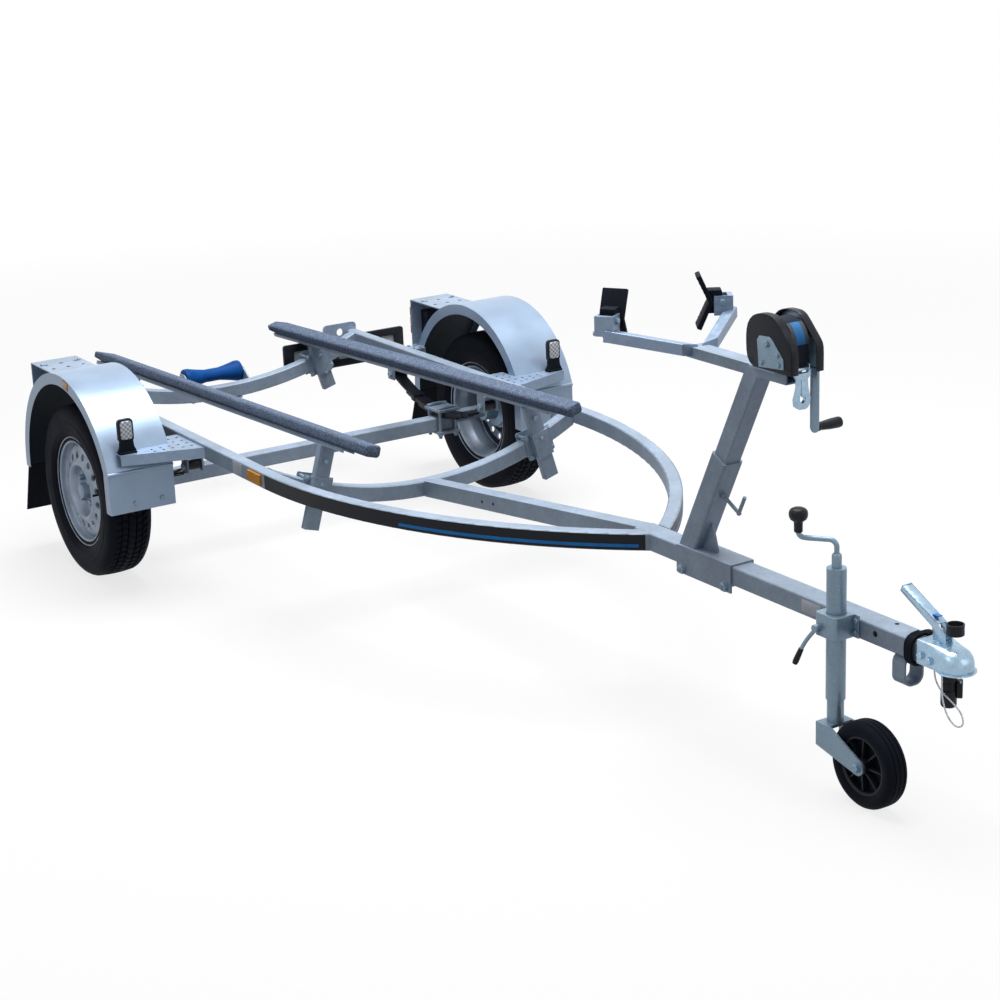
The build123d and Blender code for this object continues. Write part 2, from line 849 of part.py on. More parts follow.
with BuildPart() as fender_stays:
    for name, side in SIDES:
        stay_top = over(-stay_drop)
        side_block(
            side,
            (ahead(-stay_rear), rail_half, stay_top - 5),
            (ahead(stay_width - stay_rear), fender_inner, stay_top),
        )
        for low_y, high_y in ((rail_half, rail_half + 5), (fender_inner - 5, fender_inner)):
            side_block(
                side,
                (ahead(-stay_rear), low_y, stay_top - stay_height),
                (ahead(stay_width - stay_rear), high_y, stay_top),
            )
write(fender_stays, "fender_stays")

flap_x = arch[0] - fender_radius
with BuildPart() as mudflaps:
    for name, side in SIDES:
        with BuildSketch(Plane.XZ.offset(-side * (fender_inner + flap_inset))) as profile:
            with BuildLine():
                Polyline(
                    (flap_x + 1.5, flap_top),
                    (flap_x - flap_thickness, flap_top),
                    (flap_x - flap_thickness, fender_rise - 12),
                    (flap_x - flap_thickness - flap_lean, flap_bottom),
                    (flap_x - flap_lean, flap_bottom),
                    (flap_x + 1.5, fender_rise - 12),
                    close=True,
                )
            make_face()
        extrude(profile.sketch, amount=-side * (fender_outer - fender_inner - 2 * flap_inset))
        cut_arch(side)
write(mudflaps, "mudflaps")

with BuildPart() as marker_lamps:
    for name, side in SIDES:
        near_y = marker_side - marker_width / 2
        far_y = marker_side + marker_width / 2
        side_block(
            side,
            (ahead(marker_ahead - marker_depth / 2), near_y, step_z),
            (ahead(marker_ahead + marker_depth / 2), far_y, step_z + marker_base_height),
        )
        side_block(
            side,
            (ahead(marker_ahead - marker_depth / 2 + 3), near_y, step_z + marker_base_height),
            (ahead(marker_ahead + marker_depth / 2 - 3), far_y, over(marker_top)),
        )
write(marker_lamps, "marker_lamps")

with BuildPart() as side_reflectors:
    for name, side in SIDES:
        middle_z = over(-rail_height / 2)
        side_block(
            side,
            (ahead(reflector_ahead - reflector_length / 2), rail_half, middle_z - reflector_height / 2),
            (
                ahead(reflector_ahead + reflector_length / 2),
                rail_half + reflector_depth,
                middle_z + reflector_height / 2,
            ),
        )
write(side_reflectors, "side_reflectors")

with BuildPart() as plate_holder:
    lug_rear = ahead(-rail_tail) - lug_thickness
    holder_front = lug_rear - 18
    holder_plane = Plane(origin=(holder_front, 0, 0), x_dir=(0, 1, 0), z_dir=(1, 0, 0))
    with BuildSketch(holder_plane):
        with Locations((holder_y, over(-holder_top - holder_height / 2))):
            RectangleRounded(holder_width, holder_height, 10)
    extrude(amount=-holder_thickness)
    for arm_y in (holder_y - 75, holder_y + 8):
        block(
            (holder_front, arm_y - 12, over(-lug_drop - lug_height / 2)),
            (lug_rear, arm_y + 12, over(-holder_top)),
        )
        block(
            (holder_front, arm_y - 12, over(-holder_top - 30)),
            (holder_front + 8, arm_y + 12, over(-holder_top)),
        )
write(plate_holder, "plate_holder")

# ================================================================ bunks and posts
tilt = math.radians(bunk_tilt)
slope = math.radians(bunk_pitch)


def bunk_plane(side, distance):
    """The bunk's cross-section this far ahead of the axle: x across, y up, z forward."""
    stack = bunk_height + channel_height
    middle = Vector(
        ahead(distance),
        side * (bunk_y + stack * math.sin(tilt)),
        over(bunk_rise + math.tan(slope) * distance) - stack * math.cos(tilt),
    )
    forward = (math.cos(slope), 0, math.sin(slope))
    return Plane(origin=middle, x_dir=(0, math.cos(tilt), side * math.sin(tilt)), z_dir=forward)


for name, side in SIDES:
    rear_plane = bunk_plane(side, -tail_behind)
    with BuildPart() as bunk:
        with BuildSketch(rear_plane) as tip:
            with Locations((0, channel_height + bunk_height / 2)):
                RectangleRounded(bunk_width * 0.8, bunk_height * 0.6, bunk_corner * 0.6)
        with BuildSketch(bunk_plane(side, bunk_taper - tail_behind)) as full:
            with Locations((0, channel_height + bunk_height / 2)):
                RectangleRounded(bunk_width, bunk_height, bunk_corner)
        loft([tip.sketch, full.sketch])
        extrude(full.sketch, amount=(bunk_front + tail_behind - bunk_taper) / math.cos(slope))
    write(bunk, f"bunk_{name}")

with BuildPart() as bunk_channels:
    for name, side in SIDES:
        with BuildSketch(bunk_plane(side, -channel_rear)) as strip:
            with Locations((0, channel_height / 2)):
                Rectangle(channel_width, channel_height)
            with Locations((0, channel_height / 2 - 1.5)):
                Rectangle(channel_width - 6, channel_height - 3, mode=Mode.SUBTRACT)
        extrude(strip.sketch, amount=(channel_front + channel_rear) / math.cos(slope))
write(bunk_channels, "bunk_channels")


def post_places(place, drop, side):
    """Where a bunk post meets its channel, and where it crosses the crossbeam's middle."""
    post_ahead = place + beam_depth / 2 + post_depth / 2
    top = bunk_plane(side, post_ahead).origin
    middle_radius = (beam_half**2 + drop**2) / (2 * drop) + beam_height / 2
    centre_z = over(-drop) + middle_radius - beam_height / 2
    sideways = side * top.Y
    climb = top.Z - centre_z
    half_b = sideways * math.sin(tilt) - climb * math.cos(tilt)
    rest = sideways**2 + climb**2 - middle_radius**2
    down = -half_b + math.sqrt(half_b**2 - rest)
    lean = Vector(0, side * math.sin(tilt), -math.cos(tilt))
    return top, top + lean * down, lean


with BuildPart() as bunk_posts:
    for place, drop, tail in POSTS:
        for name, side in SIDES:
            top, cross, lean = post_places(place, drop, side)
            along = Plane(origin=top, x_dir=(1, 0, 0), z_dir=lean)
            foot = (top.Z - over(-tail)) / math.cos(tilt)
            with BuildSketch(Plane(origin=top - lean * 12, x_dir=(1, 0, 0), z_dir=lean)) as tube:
                RectangleRounded(post_depth, post_width, 4)
            extrude(tube.sketch, amount=foot + 12)
    for name, side in SIDES:
        seat = bunk_plane(side, 0)
        lower = Plane(origin=seat.origin, x_dir=seat.x_dir, z_dir=seat.y_dir)
        with BuildSketch(lower) as trim:
            Rectangle(4 * post_width, 2 * (bunk_front + tail_behind))
        extrude(trim.sketch, amount=40, mode=Mode.SUBTRACT)
write(bunk_posts, "bunk_posts")

with BuildPart() as post_clamps:
    for place, drop, tail in POSTS:
        for name, side in SIDES:
            top, cross, lean = post_places(place, drop, side)
            front = ahead(place) + beam_depth / 2
            rear = ahead(place) - beam_depth / 2
            up = lean * -1
            across = (0, math.cos(tilt), side * math.sin(tilt))
            bolt_rise = beam_height / 2 + strap_bolt_radius + 4
            wide = post_width / 2 + post_fit
            deep = post_depth + post_fit
            flange_end = wide + strap_plate + strap_flange
            section = Plane(origin=(front, cross.Y, cross.Z), x_dir=across, z_dir=lean)
            with BuildSketch(section.offset(-bolt_rise - 9)) as hat:
                with BuildLine():
                    Polyline(
                        (-flange_end, 0), (-flange_end, strap_plate), (-wide - strap_plate, strap_plate),
                        (-wide - strap_plate, deep + strap_plate), (wide + strap_plate, deep + strap_plate),
                        (wide + strap_plate, strap_plate), (flange_end, strap_plate), (flange_end, 0),
                        (wide, 0), (wide, deep), (-wide, deep), (-wide, 0),
                        close=True,
                    )
                make_face()
            extrude(hat.sketch, amount=2 * bolt_rise + 18)
            with BuildSketch(Plane(origin=(rear, cross.Y, cross.Z), x_dir=across, z_dir=(-1, 0, 0))) as back:
                Rectangle(2 * flange_end, 2 * bolt_rise + 18)
            extrude(back.sketch, amount=strap_plate)
            for edge in (-1, 1):
                for rise in (-1, 1):
                    offset = edge * (wide + strap_plate + strap_flange / 2)
                    point = Vector(0, cross.Y, cross.Z) + Vector(*across) * offset + up * (rise * bolt_rise)
                    rod(
                        (rear - strap_plate - 8, point.Y, point.Z),
                        (front + strap_plate + 10, point.Y, point.Z),
                        strap_bolt_radius,
                    )
write(post_clamps, "post_clamps")

# ================================================================ keel roller
roller_x = ahead(roller_ahead)
rear_beam_middle = over(-rear_beam_drop - beam_height / 2)
roller_z = rear_beam_middle + roller_rise
roller_half = roller_length / 2
with BuildPart() as keel_roller:
    with BuildSketch(Plane(origin=(roller_x, 0, roller_z), x_dir=(0, 1, 0), z_dir=(1, 0, 0))):
        with BuildLine():
            Polyline(
                (-roller_half, roller_pin_radius + running_clearance),
                (-roller_half, roller_end_radius - 5),
                (-roller_half + 5, roller_end_radius),
                (-roller_half + 22, roller_end_radius),
                (-30, roller_waist_radius),
                (30, roller_waist_radius),
                (roller_half - 22, roller_end_radius),
                (roller_half - 5, roller_end_radius),
                (roller_half, roller_end_radius - 5),
                (roller_half, roller_pin_radius + running_clearance),
                close=True,
            )
        make_face()
    revolve(axis=Axis((roller_x, 0, roller_z), (0, 1, 0)))
write(keel_roller, "keel_roller")

with BuildPart() as roller_cradle:
    beam_rear = ahead(rear_beam_ahead) - beam_depth / 2
    cradle_inside = roller_half + cradle_gap
    for side in (-1, 1):
        with BuildSketch(Plane.XZ.offset(-side * cradle_inside)) as cheek:
            with BuildLine():
                Polyline(
                    (roller_x - 18, roller_z + 20),
                    (roller_x + 18, roller_z + 20),
                    (beam_rear, rear_beam_middle + 18),
                    (beam_rear, rear_beam_middle - 32),
                    (beam_rear - 30, rear_beam_middle - 32),
                    (roller_x - 18, roller_z - 20),
                    close=True,
                )
            make_face()
        extrude(cheek.sketch, amount=-side * cradle_plate)
    block(
        (beam_rear - cradle_plate, -cradle_inside - 1, rear_beam_middle - 30),
        (beam_rear, cradle_inside + 1, rear_beam_middle + 16),
    )
    block(
        (beam_rear - cradle_plate, -cradle_base, rear_beam_middle - beam_height / 2 - cradle_plate),
        (ahead(rear_beam_ahead) + beam_depth / 2, cradle_base, rear_beam_middle - beam_height / 2),
    )
    pin_half = cradle_inside + cradle_plate + 9
    rod((roller_x, -pin_half, roller_z), (roller_x, pin_half, roller_z), roller_pin_radius)
write(roller_cradle, "roller_cradle")

# ================================================================ winch post
lean = math.radians(post_lean)
post_axis = Vector(math.sin(lean), 0, math.cos(lean))
post_foot = Vector(ahead(sleeve_foot), 0, over(saddle_plate))
post_across = Plane(origin=post_foot, x_dir=(0, 1, 0), z_dir=post_axis)

with BuildPart() as winch_saddle:
    side_outer = drawbar_width / 2 + saddle_plate
    block(
        (ahead(saddle_rear), -side_outer, rail_top),
        (ahead(saddle_front), side_outer, over(saddle_plate)),
    )
    for side in (-1, 1):
        side_block(
            side,
            (ahead(saddle_rear), drawbar_width / 2, over(-saddle_drop)),
            (ahead(saddle_front), side_outer, over(saddle_plate)),
        )
    for bolt_ahead in (saddle_rear + 24, saddle_front - 24):
        bolt_z = over(-drawbar_height - 8)
        rod(
            (ahead(bolt_ahead), -side_outer - 12, bolt_z),
            (ahead(bolt_ahead), side_outer + 12, bolt_z),
            6,
        )
write(winch_saddle, "winch_saddle")

with BuildPart() as post_sleeve:
    with BuildSketch(post_across.offset(-40)):
        RectangleRounded(sleeve_size, sleeve_size, 6)
        inner_size = sleeve_size - 2 * sleeve_wall
        RectangleRounded(inner_size, inner_size, 4, mode=Mode.SUBTRACT)
    extrude(amount=sleeve_length + 40)
    gusset_rear = post_foot.X + sleeve_size / 2 / math.cos(lean) - 1
    gusset_foot = post_foot.Z
    with BuildSketch(Plane.XZ) as gusset:
        with BuildLine():
            Polyline(
                (gusset_rear, gusset_foot),
                (gusset_rear + gusset_length, gusset_foot),
                (gusset_rear + gusset_length, gusset_foot + 12),
                (gusset_rear + gusset_height * math.tan(lean) + 4, gusset_foot + gusset_height),
                (gusset_rear + gusset_height * math.tan(lean), gusset_foot + gusset_height),
                close=True,
            )
        make_face()
    extrude(gusset.sketch, amount=gusset_thickness / 2, both=True)
    split(bisect_by=Plane(origin=(0, 0, gusset_foot), z_dir=(0, 0, 1)), keep=Keep.TOP)
    screw = post_foot + post_axis * (sleeve_length - screw_drop)
    outward = Vector(math.cos(lean), 0, -math.sin(lean))
    screw_root = screw + outward * (sleeve_size / 2 - sleeve_wall / 2)
    screw_knee = screw + outward * (sleeve_size / 2 + screw_reach)
    rod(screw_root, (screw_root + outward * 14), 9)
    rod(screw_root, screw_knee, 5)
    handle_root = screw_knee - outward * 5 - post_axis * 5
    rod(handle_root, (handle_root + post_axis * screw_handle), 5)
write(post_sleeve, "post_sleeve")

platform_z = over(platform_bottom)
post_length = (platform_z - post_foot.Z) / math.cos(lean)
with BuildPart() as winch_post:
    with BuildSketch(post_across.offset(winch_post_start)) as post_section:
        RectangleRounded(winch_post_size, winch_post_size, 4)
    extrude(post_section.sketch, amount=post_length - winch_post_start + 40)
    split(bisect_by=Plane(origin=(0, 0, platform_z), z_dir=(0, 0, -1)), keep=Keep.TOP)
write(winch_post, "winch_post")

with BuildPart() as winch_platform:
    half = platform_width / 2
    platform_top = platform_z + platform_height
    block((ahead(platform_rear), -half, platform_z), (ahead(platform_front), half, platform_top))
    block(
        (ahead(platform_rear) - 1, -half + 4, platform_z + 4),
        (ahead(platform_front) + 1, half - 4, platform_top - 4),
        Mode.SUBTRACT,
    )
write(winch_platform, "winch_platform")

fork_z = over(platform_bottom + platform_height / 2)
with BuildPart() as bow_fork:
    pad_turn = math.radians(pad_yaw)
    for side in (-1, 1):
        arm_start = Vector(ahead(fork_start), 0, fork_z)
        arm_end = Vector(ahead(fork_end), side * fork_spread, fork_z + fork_rise)
        arm = arm_end - arm_start
        with BuildSketch(Plane(origin=arm_start, x_dir=(arm.Y, -arm.X, 0), z_dir=arm)) as arm_section:
            RectangleRounded(fork_size, fork_size, 3)
        extrude(arm_section.sketch, amount=arm.length)
        outward = Vector(-math.cos(pad_turn), -side * math.sin(pad_turn), 0)
        pad_middle = arm_end + Vector(0, 0, pad_lift)
        along = Plane(origin=pad_middle, x_dir=outward, z_dir=(outward.Y, -outward.X, 0))
        with BuildSketch(along.offset(-pad_shoe_width / 2 - 4)) as cheek:
            with Locations((pad_boss_length / 2 + 6, -10)):
                Rectangle(pad_boss_length + 16, pad_boss_height)
        extrude(cheek.sketch, amount=pad_shoe_width + 8)
        with BuildSketch(along.offset(-pad_shoe_width / 2)) as slot:
            with Locations((pad_boss_length / 2 + 16, 0)):
                Rectangle(pad_boss_length + 8, 2 * pad_boss_height)
        extrude(slot.sketch, amount=pad_shoe_width, mode=Mode.SUBTRACT)
    split(bisect_by=Plane(origin=(ahead(platform_rear), 0, 0), z_dir=(-1, 0, 0)), keep=Keep.TOP)
    block(
        (ahead(platform_rear) - 24, -platform_width / 2, platform_z),
        (ahead(platform_rear), platform_width / 2, platform_top),
    )
write(bow_fork, "bow_fork")

with BuildPart() as bow_pads:
    for side in (-1, 1):
        arm_end = Vector(ahead(fork_end), side * fork_spread, fork_z + fork_rise)
        outward = Vector(-math.cos(pad_turn), -side * math.sin(pad_turn), 0)
        pad_middle = arm_end + Vector(0, 0, pad_lift)
        along = Plane(origin=pad_middle, x_dir=outward, z_dir=(outward.Y, -outward.X, 0))
        apex = pad_boss_length + pad_shoe_length - 16
        half_pad = pad_height / 2
        with BuildSketch(along.offset(-pad_shoe_width / 2 + 0.3)) as shoe:
            with Locations((pad_boss_length - 4 + pad_shoe_length / 2 - 8, 0)):
                Rectangle(pad_shoe_length - 4, pad_shoe_height)
        extrude(shoe.sketch, amount=pad_shoe_width - 0.6)
        with BuildSketch(along.offset(-pad_width / 2)) as wings:
            with BuildLine():
                Polyline(
                    (apex - pad_thickness, 0),
                    (apex - pad_thickness + pad_depth, half_pad),
                    (apex + pad_depth, half_pad - 5),
                    (apex, 0),
                    (apex + pad_depth, 5 - half_pad),
                    (apex - pad_thickness + pad_depth, -half_pad),
                    close=True,
                )
            make_face()
        extrude(wings.sketch, amount=pad_width)
write(bow_pads, "bow_pads")

# ================================================================ winch
drum_x = ahead(winch_ahead)
drum_z = over(winch_rise)
crank_x = ahead(crank_ahead)
crank_z = over(crank_rise)
cheek_inside = cheek_gap / 2
cheek_outside = cheek_inside + cheek_thickness
with BuildPart() as winch_frame:
    cheek_foot = platform_top
    cheek_tall = over(cheek_top) - cheek_foot
    cheek_middle = ((ahead(cheek_rear) + ahead(cheek_front)) / 2, cheek_foot + cheek_tall / 2)
    cheek_long = cheek_front - cheek_rear
    slope_start = (ahead(cheek_front - cheek_slope), over(cheek_top))
    slope_end = (ahead(cheek_front), over(cheek_top - cheek_slope))
    for side in (-1, 1):
        with BuildSketch(Plane.XZ.offset(-side * cheek_inside)) as cheek:
            with Locations(cheek_middle):
                RectangleRounded(cheek_long, cheek_tall, cheek_corner)
            with BuildLine():
                Polyline(slope_start, (slope_end[0], slope_start[1]), slope_end, close=True)
            make_face(mode=Mode.SUBTRACT)
            with Locations((ahead(base_front) - 48, cheek_foot + 15)):
                Rectangle(96, 30)
        extrude(cheek.sketch, amount=-side * cheek_thickness)
    block(
        (ahead(cheek_rear), -cheek_inside - 1, platform_top),
        (ahead(base_front), cheek_inside + 1, platform_top + winch_base),
    )
    rod(
        (crank_x, cheek_inside - 1, crank_z),
        (crank_x, cheek_outside + 1, crank_z),
        crank_shaft_radius + running_clearance,
        Mode.SUBTRACT,
    )
    rod(
        (drum_x, -cheek_outside - 10, drum_z),
        (drum_x, cheek_outside + 10, drum_z),
        drum_bolt_radius,
    )
write(winch_frame, "winch_frame")

drum_half = cheek_inside - drum_clearance
with BuildPart() as winch_drum:
    with BuildSketch(Plane(origin=(drum_x, 0, drum_z), x_dir=(0, 1, 0), z_dir=(1, 0, 0))):
        bore = drum_bolt_radius + running_clearance
        wound_half = strap_width / 2
        gear_near = gear_side - gear_width / 2
        gear_far = gear_side + gear_width / 2
        with BuildLine():
            Polyline(
                (-drum_half, bore), (-drum_half, drum_core_radius), (-wound_half, drum_core_radius),
                (-wound_half, wound_radius - 0.3), (wound_half, wound_radius - 0.3),
                (wound_half, drum_core_radius), (gear_near, drum_core_radius), (gear_near, gear_radius),
                (gear_far, gear_radius), (gear_far, drum_core_radius), (drum_half, drum_core_radius),
                (drum_half, bore),
                close=True,
            )
        make_face()
    revolve(axis=Axis((drum_x, 0, drum_z), (0, 1, 0)))
write(winch_drum, "winch_drum")

with BuildPart() as winch_strap:
    strap_middle = wound_radius + strap_thickness / 2
    with BuildSketch(Plane.XZ) as tail:
        with BuildLine():
            under = CenterArc((drum_x, drum_z), wound_radius, 0, 60)
            upper = CenterArc((drum_x, drum_z), wound_radius + strap_thickness, 0, 60)
            Line(under @ 1, upper @ 1)
            Line(under @ 0, upper @ 0)
        make_face()
    extrude(tail.sketch, amount=strap_width / 2, both=True)
    block(
        (drum_x + wound_radius, -strap_width / 2, over(strap_bottom)),
        (drum_x + wound_radius + strap_thickness, strap_width / 2, drum_z),
    )
    hook_middle = (drum_x + strap_middle + 4, 0, over(strap_bottom) - hook_length / 2 + 18)
    hook_face = Plane(origin=hook_middle, x_dir=(0, 1, 0), z_dir=(1, 0, 0))
    with BuildSketch(hook_face.offset(-hook_thickness / 2)) as hook:
        RectangleRounded(hook_width, hook_length, hook_width * 0.45)
        with Locations((0, -hook_hole_drop)):
            RectangleRounded(hook_width - 22, hook_hole, 8, mode=Mode.SUBTRACT)
    extrude(hook.sketch, amount=hook_thickness)
write(winch_strap, "winch_strap")

with BuildPart() as winch_crank:
    shaft_end = crank_side + crank_arm_thickness + 6
    rod((crank_x, cheek_inside, crank_z), (crank_x, shaft_end, crank_z), crank_shaft_radius)
    rod((crank_x, gear_near, crank_z), (crank_x, gear_far, crank_z), pinion_radius)
    rod((crank_x, gear_near, crank_z), (crank_x, cheek_inside, crank_z), crank_shaft_radius)
    with BuildSketch(Plane.XZ.offset(-crank_side)) as arm_face:
        with Locations((crank_x, crank_z - crank_arm_length / 2)):
            SlotCenterToCenter(crank_arm_length, crank_arm_width, rotation=90)
    extrude(arm_face.sketch, amount=-crank_arm_thickness)
    grip_z = crank_z - crank_arm_length
    grip_start = crank_side + crank_arm_thickness
    rod((crank_x, grip_start - 1, grip_z), (crank_x, grip_start + grip_length, grip_z), grip_radius)
write(winch_crank, "winch_crank")

# ================================================================ jockey wheel
jockey_x = ahead(jockey_ahead)
jockey_y = -(drawbar_width / 2 + jockey_gap + jockey_tube_radius)
tube_top = over(jockey_tube_top)
tube_bottom = over(-jockey_tube_bottom)
with BuildPart() as jockey_tube:
    rod((jockey_x, jockey_y, tube_bottom), (jockey_x, jockey_y, tube_top), jockey_tube_radius)
    rod(
        (jockey_x, jockey_y, tube_bottom - 1),
        (jockey_x, jockey_y, tube_top - 6),
        jockey_tube_radius - jockey_tube_wall,
        Mode.SUBTRACT,
    )
write(jockey_tube, "jockey_tube")

with BuildPart() as jockey_clamp:
    clamp_z = over(-drawbar_height / 2 + 6)
    clamp_low = clamp_z - clamp_height / 2
    clamp_high = clamp_z + clamp_height / 2
    clamp_outer = jockey_tube_radius + clamp_wall
    rod((jockey_x, jockey_y, clamp_low), (jockey_x, jockey_y, clamp_high), clamp_outer)
    block((jockey_x - 52, jockey_y, clamp_low), (jockey_x + 52, -drawbar_width / 2, clamp_high))
    under = clamp_low - 1
    above = clamp_high + 1
    block((jockey_x - 60, -drawbar_width / 2, under), (jockey_x + 60, 0, above), Mode.SUBTRACT)
    block((jockey_x - 60, jockey_y + 6, under), (jockey_x - 34, jockey_y - 2, above), Mode.SUBTRACT)
    block((jockey_x + 34, jockey_y + 6, under), (jockey_x + 60, jockey_y - 2, above), Mode.SUBTRACT)
    boss_x = jockey_x - lever_boss
    boss_y = jockey_y - clamp_outer
    lever_y = boss_y - 6
    lever_z = clamp_z - 9
    rod((boss_x, boss_y + clamp_wall + 8, lever_z), (boss_x, boss_y - 18, lever_z), 10)
    lever_tip = (boss_x - lever_run, lever_y - lever_spread, lever_z - lever_drop)
    rod((boss_x, lever_y, lever_z), lever_tip, 6.5)
    rod(
        (jockey_x, jockey_y, clamp_low - 1),
        (jockey_x, jockey_y, clamp_high + 1),
        jockey_tube_radius,
        Mode.SUBTRACT,
    )
write(jockey_clamp, "jockey_clamp")

with BuildPart() as jockey_crank:
    crank_top = tube_top + crank_rod
    arm_z = crank_top - 8
    tip_x = jockey_x - 0.8 * crank_reach
    tip_y = jockey_y - 0.6 * crank_reach
    rod((jockey_x, jockey_y, tube_top), (jockey_x, jockey_y, tube_top + crank_nut), 12)
    rod((jockey_x, jockey_y, tube_top), (jockey_x, jockey_y, crank_top), 7)
    rod((jockey_x, jockey_y, arm_z), (tip_x, tip_y, arm_z), 6)
    knob_base = crank_top + knob_stem
    rod((tip_x, tip_y, arm_z - 9), (tip_x, tip_y, knob_base), 11)
    rod((tip_x, tip_y, knob_base), (tip_x, tip_y, knob_base + knob_height), knob_radius)
write(jockey_crank, "jockey_crank")

jockey_axle_z = jockey_ground_gap + jockey_radius
axle_point = (jockey_x + jockey_trail, jockey_y, jockey_axle_z)
crown_z = jockey_axle_z + jockey_crown_rise
with BuildPart() as jockey_inner:
    inner_top = (jockey_x, jockey_y, crown_z + jockey_inner_reach)
    rod((jockey_x, jockey_y, crown_z), inner_top, jockey_inner_radius)
write(jockey_inner, "jockey_inner")

fork_inside = jockey_width / 2 + jockey_fork_gap
with BuildPart() as jockey_fork:
    for side in (-1, 1):
        with BuildSketch(Plane.XZ.offset(-jockey_y - side * fork_inside)) as plate:
            with BuildLine():
                Polyline(
                    (jockey_x - jockey_fork_rear, crown_z - jockey_fork_side),
                    (jockey_x - jockey_fork_rear, crown_z),
                    (jockey_x + jockey_fork_rear, crown_z),
                    close=True,
                )
            make_face()
            with Locations((axle_point[0], jockey_axle_z)):
                Circle(jockey_fork_eye)
            make_hull()
        extrude(plate.sketch, amount=-side * jockey_fork_plate)
    block(
        (jockey_x - jockey_fork_rear, jockey_y - fork_inside - 1, crown_z - jockey_crown),
        (jockey_x + jockey_crown_front, jockey_y + fork_inside + 1, crown_z),
    )
    axle_half = fork_inside + jockey_fork_plate + 8
    rod(
        (axle_point[0], jockey_y - axle_half, jockey_axle_z),
        (axle_point[0], jockey_y + axle_half, jockey_axle_z),
        jockey_axle_radius,
    )
write(jockey_fork, "jockey_fork")

with BuildPart() as jockey_wheel:
    with BuildSketch(Plane(origin=axle_point, x_dir=(0, 1, 0), z_dir=(1, 0, 0))):
        half = jockey_width / 2
        bore = jockey_axle_radius + running_clearance
        with BuildLine():
            Line((-half, bore), (half, bore))
            Line((half, bore), (half, 26))
            Line((half, 26), (half - 12, 34))
            Line((half - 12, 34), (half - 12, 66))
            Line((half - 12, 66), (half - 2, 74))
            Line((half - 2, 74), (half, jockey_radius - 22))
            ThreePointArc(
                (half, jockey_radius - 22),
                (half - 8, jockey_radius - 5),
                (half - 20, jockey_radius),
            )
            Line((half - 20, jockey_radius), (20 - half, jockey_radius))
            ThreePointArc(
                (20 - half, jockey_radius),
                (8 - half, jockey_radius - 5),
                (-half, jockey_radius - 22),
            )
            Line((-half, jockey_radius - 22), (2 - half, 74))
            Line((2 - half, 74), (12 - half, 66))
            Line((12 - half, 66), (12 - half, 34))
            Line((12 - half, 34), (-half, 26))
            Line((-half, 26), (-half, bore))
        make_face()
    revolve(axis=Axis(axle_point, (0, 1, 0)))
write(jockey_wheel, "jockey_wheel")

# ================================================================ coupling
ball_x = ahead(ball_ahead)
head_top = over(coupling_top)
head_bottom = head_top - coupling_height
head_half = drawbar_width / 2 + coupling_wall
with BuildPart() as coupling_head:
    block((ahead(coupling_rear), -head_half, head_bottom), (ball_x, head_half, head_top))
    with BuildSketch(Plane.XY.offset(head_bottom)) as nose:
        with Locations((ball_x, 0)):
            Circle(nose_radius)
    extrude(nose.sketch, amount=10)
    with BuildSketch(Plane.XY.offset(head_bottom)) as dome:
        with Locations((ball_x, 0)):
            Circle(nose_radius - 6)
    extrude(dome.sketch, amount=coupling_height - 6, taper=10)
    block(
        (ahead(coupling_rear) - 1, -drawbar_width / 2, over(-drawbar_height)),
        (ahead(drawbar_end), drawbar_width / 2, rail_top),
        Mode.SUBTRACT,
    )
    block(
        (ahead(coupling_rear) - 1, -drawbar_width / 2, head_bottom - 1),
        (ahead(drawbar_end), drawbar_width / 2, over(-drawbar_height / 2)),
        Mode.SUBTRACT,
    )
    rod((ball_x, 0, head_bottom - 1), (ball_x, 0, head_bottom + socket_depth), socket_radius, Mode.SUBTRACT)
    with Locations((ball_x, 0, head_bottom + socket_depth)):
        Sphere(socket_radius, mode=Mode.SUBTRACT)
write(coupling_head, "coupling_head")

with BuildPart() as coupling_handle:
    handle_points = [(ahead(ball_ahead + distance), over(height)) for distance, height in HANDLE]
    with BuildSketch(Plane.XZ) as lever:
        with BuildLine():
            Polyline(*handle_points, close=True)
        make_face()
    extrude(lever.sketch, amount=handle_width / 2, both=True)
write(coupling_handle, "coupling_handle")

dock_x = ahead(dock_ahead)
handle_front = ahead(ball_ahead + HANDLE[1][0])
with BuildPart() as plug_dock:
    dock_low = over(dock_rise)
    dock_high = over(dock_rise + dock_height)
    rod((dock_x, 0, dock_low), (dock_x, 0, dock_high), dock_radius)
    rod((dock_x, 0, dock_low - 1), (dock_x, 0, dock_high + 1), dock_radius - dock_wall, Mode.SUBTRACT)
    block((handle_front - 1, -6, dock_low - 10), (dock_x - dock_radius + 2, 6, dock_low + 12))
    block((dock_x - dock_radius + 1, -6, dock_low - 10), (dock_x - dock_radius + 8, 6, dock_low))
    block((handle_front - 30, -16, over(0)), (handle_front - 2, 16, dock_high), Mode.SUBTRACT)
write(plug_dock, "plug_dock")

with BuildPart() as cable_hanger:
    loop_top = over(-drawbar_height)
    loop_back = (ahead(loop_rear), 0, loop_top - loop_drop / 2)
    loop_plane = Plane(origin=loop_back, x_dir=(0, 1, 0), z_dir=(1, 0, 0))
    with BuildSketch(loop_plane):
        RectangleRounded(loop_width, loop_drop, 24)
        RectangleRounded(loop_width - 2 * loop_sheet, loop_drop - 2 * loop_sheet, 19, mode=Mode.SUBTRACT)
    extrude(amount=loop_length)
write(cable_hanger, "cable_hanger")


